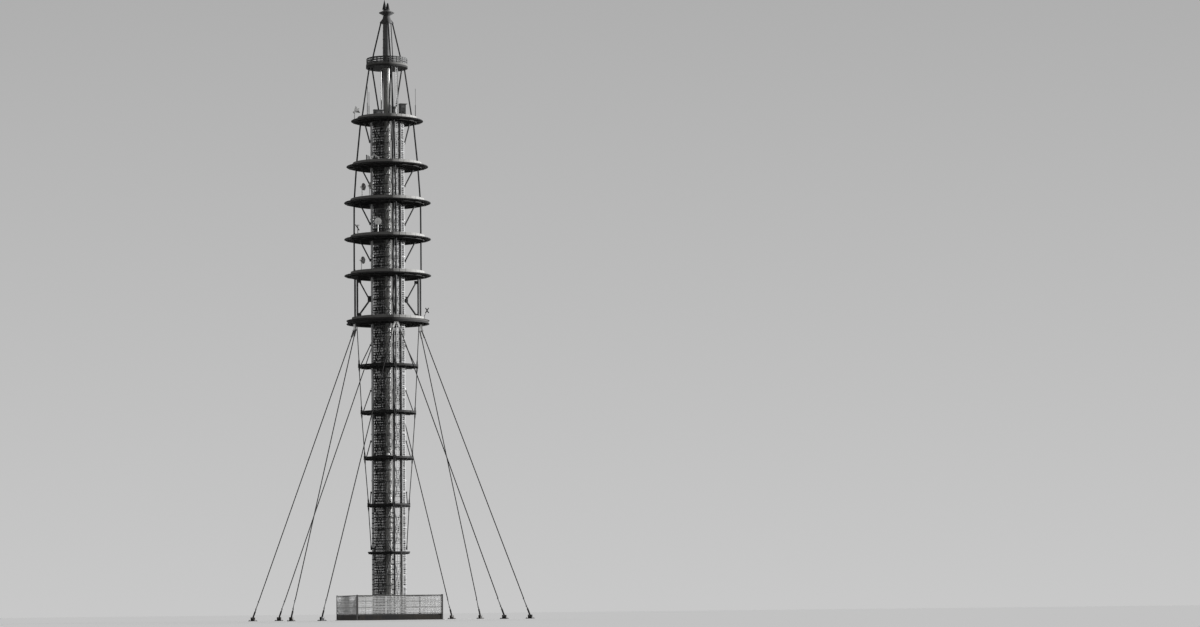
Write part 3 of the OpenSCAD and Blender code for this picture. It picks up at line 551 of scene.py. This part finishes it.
quarter = np.arange(4) * 90.0
saddle_reach, rib_t, rib_count = 0.05, 0.02, 24
rib_angles = (np.arange(rib_count) + 0.5) * 360 / rib_count
ring_r = np.array([high.x - (saddle_reach if i else 0) for i, (low, high) in enumerate(ring_boxes)])
ring_ribs, saddle_bolts = [], []
for i, rim_r in enumerate(ring_r):
    ring_ribs.append(band(leg_r + 0.15, rib_t, low=under[i] - 0.09, high=under[i]))
    for inner, outer, deep in ((0.33, leg_r - 0.1, 0.06), (leg_r + 0.14, rim_r - 0.03, 0.07)):
        centres = around(rib_count, (inner + outer) / 2, under[i] - deep / 2, first=rib_angles[0])
        ring_ribs.append(blocks(centres, (outer - inner, rib_t, deep), rib_angles))
    if i:
        for degrees in quarter:
            out, across = turned([(1, 0, 0), (0, 1, 0)], degrees)
            face = out * (rim_r + saddle_reach) + (0, 0, under[i] + 0.06)
            spots = [face + across * x + (0, 0, z) for x in (-0.055, 0.055) for z in (-0.09, 0, 0.09)]
            saddle_bolts.append(bolts(spots, width=0.032, height=0.018, way=out))
make("ring_ribs", ring_ribs, ring_paint)
make("saddle_bolts", saddle_bolts, zinc)


# The decks: plate floors on radial beams and two hoops, whose lips thin to an
# edge, each with a pale ribbed kerb; the plate undersides and lips are painted
# dark, which is painted shade under the decks.
def deck_paint(name, floor_z, kerb_r, pale=0.80, painted_shade_to=0.052):
    """Dark below and on the lip, as far as painted_shade_to above the underside,
    which is painted shade under the deck, and pale on the kerb (above that and
    inside its radius), worn in the rays that feet and rain leave from the middle."""
    material, tree = blank(name)
    spot = node(tree, "ShaderNodeTexCoord").outputs["Object"]
    x, y, z = node(tree, "ShaderNodeSeparateXYZ", Vector=spot).outputs
    level = node(tree, "ShaderNodeCombineXYZ", X=x, Y=y).outputs[0]
    reach = node(tree, "ShaderNodeVectorMath", {"operation": "LENGTH"}, Vector=level).outputs["Value"]
    inside = ramp(tree, reach, (kerb_r + 0.012, kerb_r + 0.022), (1.0, 0.0))
    above = ramp(tree, z, (floor_z + painted_shade_to, floor_z + painted_shade_to + 0.01))
    on_floor = ramp(tree, z, (floor_z + 0.040, floor_z + 0.049))
    angle = figure(tree, "ARCTAN2", y, x)
    polar = node(tree, "ShaderNodeCombineXYZ", X=angle, Y=reach, Z=z).outputs[0]
    drawn = node(tree, "ShaderNodeMapping", Vector=polar, Scale=(6.0, 0.7, 2.5)).outputs[0]
    ray = noise(tree, drawn, scale=3.0, detail=5.0)
    blot = noise(tree, spot, scale=1.7, detail=4.0)
    # Painted shade: the underside and lip are coloured dark for the shade under the deck.
    painted_underside_shade = blend(tree, ray, (0.07, 0.07, 0.071), (0.15, 0.15, 0.149))
    tread = blend(tree, blot, (0.15, 0.15, 0.148), (0.26, 0.255, 0.25))
    bright = blend(tree, ray, (pale, pale, pale - 0.02), (pale * 0.8, pale * 0.79, pale * 0.77))
    plate = blend(tree, on_floor, painted_underside_shade, tread)
    whole = blend(tree, figure(tree, "MULTIPLY", inside, above), plate, bright)
    finish = {"Roughness": ramp(tree, blot, end=(0.55, 0.85)), "Specular_IOR_Level": 0.05}
    surface(tree, whole, noise(tree, spot, scale=40.0, detail=2.0), relief=0.15, depth=0.005, **finish)
    return material


def fins(outline, thick, degrees):
    """Upright plates in planes through the axis: the outline, points (r, z)
    anticlockwise, drawn out by half the thickness each way, at each angle."""
    outline = np.asarray(outline, float)
    n = len(outline)
    points = np.concatenate([np.insert(outline, 1, y, 1) for y in (-thick / 2, thick / 2)])
    ring = np.arange(n)
    after = (ring + 1) % n
    faces = [np.stack([ring, n + ring[::-1]]), np.stack([ring, ring + n, after + n, after], 1)]
    frames = upright(degrees)
    return copies((points, faces), np.zeros((len(frames), 3)), frames)


beam_paint = steel(
    "beam_paint", (0.075, 0.075, 0.076), (0.12, 0.118, 0.115), rough=0.7, shine=0.05, share=0.8
)
kerb_paint = steel("kerb_paint", (0.74, 0.74, 0.72), (0.5, 0.49, 0.47), rough=0.5, share=0.6)

deck_r = [high.x for low, high in deck_boxes]
lip_1_w, lip_w, beam_t, beam_count, kerb_rib_count = 0.345, 0.4, 0.03, 16, 36
beam_angles = (np.arange(beam_count) + 0.5) * 360 / beam_count
kerb_angles = (np.arange(kerb_rib_count) + 0.5) * 360 / kerb_rib_count
deck_beams, kerb_ribs = [], []
for i, (r, floor_z) in enumerate(zip(deck_r, deck_under)):
    kerb_r = r - (lip_w if i else lip_1_w)
    # How high above the underside the painted shade reaches; higher on deck 1.
    painted_shade_to, beam_short, half_kerb_h = (0.052, 0.02, 0.16) if i else (0.16, 0.10, 0.20)
    dress(deck_paint("deck_%d_paint" % (i + 1), floor_z, kerb_r, painted_shade_to=painted_shade_to), "deck_%d" % (i + 1))
    beam_in, beam_out = leg_r + 0.12, r - beam_short
    below_floor = [(beam_in, -0.10), (kerb_r, -0.08), (beam_out, -0.012), (beam_out, 0), (beam_in, 0)]
    beam = [(reach, floor_z + z) for reach, z in below_floor]
    deck_beams.append(fins(beam, beam_t, beam_angles))
    deck_beams.append(band(kerb_r - 0.03, beam_t, low=floor_z - 0.09, high=floor_z))
    deck_beams.append(band(leg_r + 0.16, beam_t, low=floor_z - 0.11, high=floor_z))
    rib_spots = around(kerb_rib_count, kerb_r + 0.004, floor_z + half_kerb_h, first=kerb_angles[0])
    kerb_ribs.append(blocks(rib_spots, (0.008, 0.02, 2 * half_kerb_h - 0.11), kerb_angles))
make("deck_beams", deck_beams, beam_paint)
make("kerb_ribs", kerb_ribs, kerb_paint)


# Hatches: beside the climbing ladder each deck has a trapdoor in a frame of
# flat bar, with two hinges and a grip.
hatch_paint = steel("hatch_paint", (0.20, 0.20, 0.198), (0.30, 0.29, 0.28), rough=0.6, share=0.6)

hatch_out, hatch_w, hatch_d, strip_w, strip_h = ladder_out + 0.23, 0.40, 0.34, 0.022, 0.034
out, across = turned([(0, -1, 0), (1, 0, 0)], ladder_face)
half_w, half_d = across * hatch_w / 2, out * hatch_d / 2
grip_half, grip_leg, grip_r = across * 0.05, (0, 0, 0.03), 0.007
hatches = []
for z in deck_over:
    centre = on_face(ladder_face, ladder_share, hatch_out, z)[0]
    strip_middle = centre + (0, 0, strip_h / 2)
    hatches.append(blocks(centre + (0, 0, 0.010), (hatch_w - 0.05, hatch_d - 0.05, 0.020), ladder_face))
    for half, size in ((half_w, (strip_w, hatch_d, strip_h)), (half_d, (hatch_w, strip_w, strip_h))):
        hatches.append(blocks([strip_middle - half, strip_middle + half], size, ladder_face))
    pins = np.array([centre + half_d + across * x + (0, 0, 0.040) for x in (-0.14, 0.08)])
    hatches.append(bars(pins, pins + across * 0.06, radius=0.012, sides=6))
    grip = centre - out * 0.10 + (0, 0, 0.045)
    grip_ends = np.array([grip - grip_half, grip + grip_half])
    hatches.append(bars(grip_ends[0], grip_ends[1], grip_r, sides=6))
    hatches.append(bars(grip_ends - grip_leg, grip_ends, grip_r, sides=6))
make("deck_hatches", hatches, hatch_paint)


# The lookout: a round floor with a kerb, posts and rails of tube, and level
# boards with narrow gaps inside upright straps, fixed outside the rails.
rail_zinc = steel("rail_zinc", (0.40, 0.405, 0.41), (0.16, 0.16, 0.15), rough=0.6, grain=90, share=0.7)
rail_paint = steel("rail_paint", (0.07, 0.072, 0.075), (0.12, 0.118, 0.115), share=0.6)
dress(rail_paint, "lookout_railing")
dress(deck_paint("lookout_paint", lookout_z + 0.06, lookout_high.x, pale=0.42), "lookout_deck")

lookout_top = lookout_z + deck_floor
rail_tube_r, kerb_top = 0.017, lookout_high.z - lookout_top
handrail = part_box("lookout_railing")[1].z - rail_tube_r - lookout_top
board_r, board_t, board_h, board_pitch = lookout_high.x - 0.034, 0.008, 0.085, 0.135
boards = [
    band(board_r, board_t, low=lookout_top + z, high=lookout_top + z + board_h, sides=72)
    for z in np.arange(kerb_top + 0.012, handrail - board_h, board_pitch)
]
make("lookout_boards", boards, rail_zinc)

strap_count, strap_foot, strap_turn = 32, 0.17, 3
straps = blocks(
    around(strap_count, board_r + board_t, lookout_top + (handrail + strap_foot) / 2, first=strap_turn),
    (0.008, 0.050, handrail - strap_foot),
    np.arange(strap_count) * 360 / strap_count + strap_turn,
)
make("lookout_straps", [straps], rail_paint)


# Outer posts, knee braces and ring braces: tubes with welded end plates and
# fins, bolted through every floor, in dark satin paint; the twin posts of the
# lowest bay are painted paler, which is painted sunlight on them.
# Painted sunlight: below deck 2 the twin posts get a paler colour for their sunlit look.
post_paint_painted_sun_below = steel(
    "post_paint_painted_sun_below", (0.06, 0.062, 0.065), (0.10, 0.098, 0.095), share=0.6,
    below=(0.26, 0.262, 0.265), level=deck_under[1],
)
brace_paint = steel("brace_paint", (0.12, 0.122, 0.125), (0.17, 0.168, 0.165), share=0.6)
dress(post_paint_painted_sun_below, "outer_posts")
dress(brace_paint, "knee_braces", "ring_braces", "head_stays")

post_r = np.array([2.03, 2.15, 2.15, 2.14, 1.985, 1.70])
twin_plate_w, plate_w, plate_t = 0.36, 0.19, 0.016
plates, fittings = [], []
for i, r in enumerate(post_r):
    ends = []
    if i < 5:
        ends.append((r, deck_over[i], 1, plate_w if i else twin_plate_w))
    if i == 1:
        ends.append((post_r[0], deck_under[i], -1, twin_plate_w))
    elif i > 1:
        ends.append((r, deck_under[i], -1, plate_w))
    for place, z, up, width in ends:
        size = (width, plate_w, plate_t)
        plates.append(blocks(turned((place, 0, z + up * plate_t / 2), quarter), size, quarter))
        half = width / 2 - 0.03
        spots = [(place + x, y, z + up * plate_t) for x in (-half, half) for y in (-0.07, 0.07)]
        fittings.append(bolts(turned(spots, quarter), width=0.03, height=0.02, way=(0, 0, up)))
        if up > 0 and i:
            inner = place - 0.045
            fin = [(inner - 0.12, z + plate_t), (inner, z + plate_t), (inner, z + 0.40)]
            plates.append(fins(fin, thick=0.014, degrees=quarter))

leg_face = leg_r + 0.085
knee_shares = (0.563, 0.562, 0.488, 0.446)
knee_z = deck_under[2:] - (deck_under[2:] - deck_under[1:-1]) * knee_shares
node_z = (deck_over[0] + deck_under[1]) / 2
brace_spots = [(leg_face + 0.06, z + dz) for z in knee_z for dz in (-0.072, 0.072)]
brace_spots += [(leg_face + dr, node_z + dz) for dr in (0.06, 0.16) for dz in (-0.15, 0.13)]
for side in (-1, 1):
    points = np.array([(r, side * 0.010, z) for r, z in brace_spots])
    for degrees in quarter:
        outward = turned((0, side, 0), degrees)[0]
        fittings.append(bolts(turned(points, degrees), width=0.030, height=0.014, way=outward))
make("post_plates", plates, brace_paint)
make("post_bolts", fittings, zinc)


# The head: a tapered spire in a thin casing on its flange, with bands, steps
# and a cable, sleeved stays, and the collar, hat, lamp and rod, weathered
# darker than the column.
spire_paint = steel("spire_paint", (0.45, 0.455, 0.46), (0.32, 0.315, 0.31), share=0.6)
head_paint = steel("head_paint", (0.24, 0.242, 0.245), (0.16, 0.158, 0.155), rough=0.6, share=0.7)
lamp_paint = steel("lamp_paint", (0.06, 0.062, 0.065), (0.10, 0.098, 0.095), rough=0.5)
dress(spire_paint, "spire")
dress(head_paint, "head_collar", "head_hat")
dress(lamp_paint, "head_lamp")

spire_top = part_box("spire")[1].z
casing_low_r, casing_high_r, flange_t = 0.260, 0.235, 0.04
casing_profile = [
    (casing_low_r, lookout_top + flange_t),
    (casing_low_r, lookout_top + 0.06),
    (casing_high_r, spire_top - 0.004),
]
make("spire_casing", [revolve(casing_profile, sides=48)], spire_paint)

stay_runs = [
    ((1.05, 0, lookout_top), (0.3825, 0, spire_top)),
    ((1.64, 0, top_floor), (1.14, 0, lookout_z)),
    ((0.44, 0, top_floor), (0.96, 0, lookout_z)),
]
sleeve_r = 0.047
sleeves = [bars(turned(foot, quarter), turned(head, quarter), sleeve_r, 12) for foot, head in stay_runs]
make("stay_sleeves", sleeves, lamp_paint)

step_z = np.arange(lookout_top + 0.5, spire_top - 0.2, 0.23)
step_feet = np.array((0, 0.22, 0)) + step_z[:, None] * (0, 0, 1)
step_bolts = bars(step_feet, step_feet + (0, 0.17, 0), radius=0.010, sides=6)
band_r = np.linspace(casing_low_r, casing_high_r, 4)
band_z = np.linspace(lookout_top + 0.7, spire_top - 0.5, 4)
spire_bands = [band(r, thick=0.03, low=z, high=z + 0.06, sides=48) for r, z in zip(band_r, band_z)]
foot_ring = bolts(around(12, 0.315, lookout_top + flange_t), width=0.035, height=0.022)
make("spire_fittings", [step_bolts, *spire_bands, foot_ring], spire_paint)
spire_cable = bars((0.30, -0.45, lookout_top), (0.20, -0.30, spire_top), radius=0.030)
make("spire_cable", [spire_cable], brace_paint)


# Guys and tendons: greased strand in cast sockets, hung from pale plate yokes
# under deck 1 and pinned to the shoes, each with a turnbuckle above its shoe.
# The yokes' pale metallic paint is painted sunlight.
def strand(name, bright_above):
    """Dark greased strand whose lay shows as a fine slanting wave; the sockets
    above a height are bright zinc."""
    material, tree = blank(name)
    spot = node(tree, "ShaderNodeTexCoord").outputs["Object"]
    height = node(tree, "ShaderNodeSeparateXYZ", Vector=spot).outputs["Z"]
    head = ramp(tree, height, (bright_above, bright_above + 0.01))
    wave = node(
        tree, "ShaderNodeTexWave", {"bands_direction": "DIAGONAL"}, Vector=spot, Scale=14.0, Distortion=1.0
    )
    blot = noise(tree, spot, scale=3.0, detail=3.0)
    wire = blend(tree, blot, (0.025, 0.025, 0.026), (0.05, 0.049, 0.048))
    cast = blend(tree, blot, (0.72, 0.72, 0.71), (0.5, 0.5, 0.49))
    finish = {"Roughness": 0.5, "Specular_IOR_Level": 0.15}
    surface(tree, blend(tree, head, wire, cast), wave.outputs["Fac"], relief=0.4, depth=0.006, **finish)
    return material


guy_head_side, guy_head_z, guy_foot_z, above_all = 0.22, 17.98, 0.19, 40.0
dress(strand("guy_strand", guy_head_z - 0.40), "guys_west", "guys_south", "guys_east", "guys_north")
dress(strand("tendon_strand", above_all), "tendons")
# Painted sunlight: the yokes take the bright metallic paint for their sunlit look.
dress(painted_sunlight_paint, "guy_brackets")

guy_heads = guy_way * guy_head_r + guy_aside * guy_head_side + (0, 0, guy_head_z)
guy_ends = guy_feet + (0, 0, guy_foot_z)
guy_up = (guy_heads - guy_ends) / np.linalg.norm(guy_heads - guy_ends, axis=1, keepdims=True)
barrel_half = [(0.032, 0), (0.055, 0.04), (0.055, 0.14), (0.036, 0.18)]
barrel = revolve(barrel_half + [(r, 1 - share) for r, share in barrel_half[::-1]], 10)
barrel_rise, barrel_l, pin_half_l, cap_w = 0.56, 0.62, 0.075, 0.09
barrels = copies(barrel, guy_ends + guy_up * barrel_rise, along(guy_up * barrel_l))
yoke_pins = bars(guy_heads - guy_way * pin_half_l, guy_heads + guy_way * pin_half_l, radius=0.030, sides=12)
guy_fittings = [barrels, yoke_pins]
for way in (-guy_way, guy_way):
    guy_fittings.append(bolts(guy_heads + way * 0.060, cap_w, height=0.020, way=way))
for way in (-shoe_aside, shoe_aside):
    guy_fittings.append(bolts(guy_ends + way * pin_half_l, cap_w, height=0.022, way=way))
make("guy_fittings", guy_fittings, zinc)

rim_h = 0.125
tendon_r = np.array([leg_face + 0.045, *ring_r[1:], post_r[0] - 0.03])
tendon_low = np.array([under[0] + 0.24, *(under[1:5] + rim_h + saddle_rise)])
tendon_high = np.array([*(under[1:5] - saddle_rise), under[5]])
starts = np.stack([tendon_r[:-1], 0 * tendon_low, tendon_low], 1)
ends = np.stack([tendon_r[1:], 0 * tendon_high, tendon_high], 1)
unit = (ends - starts) / np.linalg.norm(ends - starts, axis=1, keepdims=True)
socket = revolve([(0.050, 0), (0.050, 0.10), (0.030, 0.24), (0.030, 0.26)], 12)
sockets = [
    copies(socket, turned(starts + unit * 0.02, quarter), along(turned(unit, quarter))),
    copies(socket, turned(ends - unit * 0.02, quarter), along(turned(-unit, quarter))),
]
make("tendon_sockets", sockets, brace_paint)


# The screen: a square of slatted panels on posts round the foot, behind fine
# upright bars on thin rails, with dark rails at its top and foot; the pale
# coat is grey with dirt.
slat_paint = steel(
    "slat_paint", (0.94, 0.94, 0.93), (0.74, 0.735, 0.72), rough=0.5, metal=0.9, share=0.7, patch=0.5
)
screen_paint = steel("screen_paint", (0.20, 0.202, 0.205), (0.28, 0.27, 0.26), rough=0.6, share=0.7)
dress(slat_paint, "screen_west", "screen_south", "screen_east", "screen_north")
dress(screen_paint, "screen_posts")

screen_low, screen_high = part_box("screen_south")
span, face_y = screen_high.x - screen_low.x, screen_low.y


def on_sides(out, z, thick, high):
    """A level strip along each side of the screen, a distance out from its face."""
    return blocks(turned((0, face_y - out, z), quarter), (span, thick, high), quarter)


bar_count, bar_h = 60, 1.13
bar_x = np.linspace(-span / 2 + 0.05, span / 2 - 0.05, bar_count)
bar_feet = np.array((0, face_y - 0.008, screen_low.z + 0.01)) + bar_x[:, None] * (1, 0, 0)
bar_heads = bar_feet + (0, 0, bar_h)
fine_bars = bars(turned(bar_feet, quarter), turned(bar_heads, quarter), radius=0.008, sides=4)
thin_rails = [on_sides(out=0.011, z=z, thick=0.022, high=0.030) for z in (0.43, 0.78, 1.14)]
top_rail = on_sides(out=0.011, z=1.49, thick=0.022, high=0.055)
kick_plates = on_sides(out=-0.012, z=0.315, thick=0.014, high=0.125)
make("screen_rails", [top_rail, kick_plates], screen_paint)
make("screen_bars", [fine_bars, *thin_rails], leg_paint)


# Aerials and boxes on the decks: spun dishes with feed horns on posts,
# equipment cabinets with doors and louvres, and whip aerials.
dish_paint = steel("dish_paint", (0.88, 0.88, 0.87), (0.74, 0.735, 0.72), rough=0.5, metal=0.6)
box_paint = steel("box_paint", (0.16, 0.162, 0.165), (0.11, 0.109, 0.107), rough=0.5, share=0.6)
whip_look = steel("whip_look", (0.30, 0.305, 0.31), (0.22, 0.22, 0.215), rough=0.45)
dress(dish_paint, "dishes")
dress(box_paint, "cabinets")
dress(whip_look, "whips")

# Each dish: deck, place as a share of the deck's radius and an angle, where it
# looks, its size, the rise of its post, its tilt, and its depth as a share.
dish_d, dish_rise = 0.44, 0.93
dish_rows = [
    (4, 0.63, 188, -48, 1.05, 1, 0, 0.22),
    (4, 0.53, 205, -50, 1, 1.04, 0, 0.22),
    (3, 0.54, 232, -104, 1, 1.04, 0, 0.22),
    (2, 0.65, 188, -48, 1.05, 0.97, 0, 0.22),
    (6, 0.91, 172, -14, 1.16, 0.62, 32, 0.45),
]
horn = revolve([(0.028, 0), (0.034, 0.05), (0.020, 0.06)], 12)
feeds = []
for deck, share, place, facing, size, lift, tilt, deep in dish_rows:
    a, f, t = math.radians(place), math.radians(facing), math.radians(tilt)
    r = deck_r[deck - 1] * share
    hub = np.array([r * math.cos(a), r * math.sin(a), deck_over[deck - 1] + dish_rise * lift])
    way = np.array([math.cos(f) * math.cos(t), math.sin(f) * math.cos(t), math.sin(t)])
    bowl = hub + way * (0.025 + 0.45 * dish_d * size * deep)
    feeds.append(bars(bowl, bowl + way * 0.18, radius=0.010))
    feeds.append(copies(horn, [bowl + way * 0.165], along(way)))
    feeds.append(bars(hub - way * 0.02, hub - way * 0.11, radius=0.045, sides=12))
    feeds.append(blocks(hub - (0, 0, 0.10), (0.09, 0.09, 0.05), facing))
make("dish_feeds", feeds, dish_paint)

# Each cabinet: its south-west corner, and the width and height of its front.
box_rows = [
    ((0.70, -0.54), (0.38, 1.05)),
    ((-0.96, -0.52), (0.56, 0.61)),
    ((0.0, -1.30), (0.20, 0.72)),
]
door_t, louvre_count, louvre_pitch = 0.012, 5, 0.028
doors, louvres = [], []
for (x, y), (w, h) in box_rows:
    centre = np.array((x + w / 2, y, top_floor + h / 2))
    doors.append(blocks(centre - (0, door_t / 2, 0), (w - 0.06, door_t, h - 0.10)))
    rise = h / 2 - 0.12 - np.arange(louvre_count) * louvre_pitch
    slats = centre - (0, door_t * 1.5, 0) + rise[:, None] * (0, 0, 1)
    louvres.append(blocks(slats, (w * 0.5, door_t, 0.010)))
    handle = centre + (w / 2 - 0.06, 0, 0)
    louvres.append(bars(handle - (0, 0.035, 0.05), handle - (0, 0.035, -0.05), radius=0.007, sides=6))
    louvres.append(bars(handle - (0, door_t, 0), handle - (0, 0.036, 0), radius=0.006, sides=6))
make("cabinet_doors", doors, box_paint)
make("cabinet_louvres", louvres, zinc)


# Small things on the decks: short aerials on poles, pipes and a thin pole from
# deck 6 up to the lookout, and round white lamps on stems. Each rod: its two
# ends and its radius.
ring_3, deck_1, deck_3, deck_5 = over[[2, 5, 7, 9]]
aerial_3 = [
    ((-1.805, 0.450, deck_3), (-1.805, 0.450, 24.66), 0.022),
    ((-1.95, 0.486, 24.66), (-1.72, 0.429, 24.30), 0.032),
    ((-1.86, 0.464, 24.62), (-1.70, 0.424, 24.62), 0.014),
]
poles_5 = [
    ((-1.40, -0.270, deck_5), (-1.40, -0.270, 28.98), 0.034),
    ((-1.30, -0.245, deck_5), (-1.30, -0.245, 28.95), 0.030),
    ((-1.21, -0.222, deck_5), (-1.21, -0.222, 28.90), 0.026),
]
pipes_6 = [
    ((0.637, -0.159, top_floor), (0.637, -0.159, lookout_z), 0.040),
    ((0.305, -0.076, top_floor), (0.305, -0.076, lookout_z), 0.034),
]
cross_1 = [
    ((2.211, -0.551, deck_1), (2.211, -0.551, 18.95), 0.016),
    ((2.211, -0.551, 18.90), (2.365, -0.590, 19.24), 0.014),
    ((2.27, -0.566, 19.40), (2.47, -0.616, 19.08), 0.034),
    ((2.47, -0.616, 19.40), (2.27, -0.566, 19.08), 0.034),
]
arch_5 = [
    ((-1.24, -0.927, deck_5), (-1.24, -0.927, 28.74), 0.020),
    ((-1.24, -0.927, 28.74), (-1.06, -0.972, 28.90), 0.035),
    ((-1.06, -0.972, 28.90), (-0.80, -1.036, 28.70), 0.030),
    ((-0.80, -1.036, 28.70), (-0.80, -1.036, deck_5), 0.018),
]
pole_6 = [((-0.217, 0.672, top_floor), (-0.217, 0.672, lookout_z), 0.030)]
dark_rods = [bars(a, b, r) for a, b, r in aerial_3 + poles_5 + pipes_6 + cross_1]
white_rods = [bars(a, b, r) for a, b, r in arch_5 + pole_6]
make("deck_aerials", dark_rods, brace_paint)
make("white_pipes", white_rods, dish_paint)

# Each lamp: its middle, its radius and the floor that its stem stands on.
lamp_rows = [
    ((-0.35, -1.28, 10.20), 0.11, ring_3),
    ((0.166, -1.587, 31.48), 0.06, top_floor),
    ((0.179, -1.591, 31.80), 0.06, top_floor),
    ((-1.242, -0.927, 28.76), 0.08, deck_5),
]
latitude = np.linspace(-np.pi / 2, np.pi / 2, 11)[1:-1]
globe = revolve(np.stack([np.cos(latitude), np.sin(latitude)], 1), 16)
lamp_spots, lamp_r, lamp_floors = (np.array(column) for column in zip(*lamp_rows))
globes = copies(globe, lamp_spots, np.eye(3) * lamp_r[:, None, None])
stem_feet = lamp_spots * (1, 1, 0) + lamp_floors[:, None] * (0, 0, 1)
stems = bars(stem_feet, lamp_spots - (0, 0, 0.05), radius=0.014)
make("mast_lamps", [globes, stems], dish_paint)
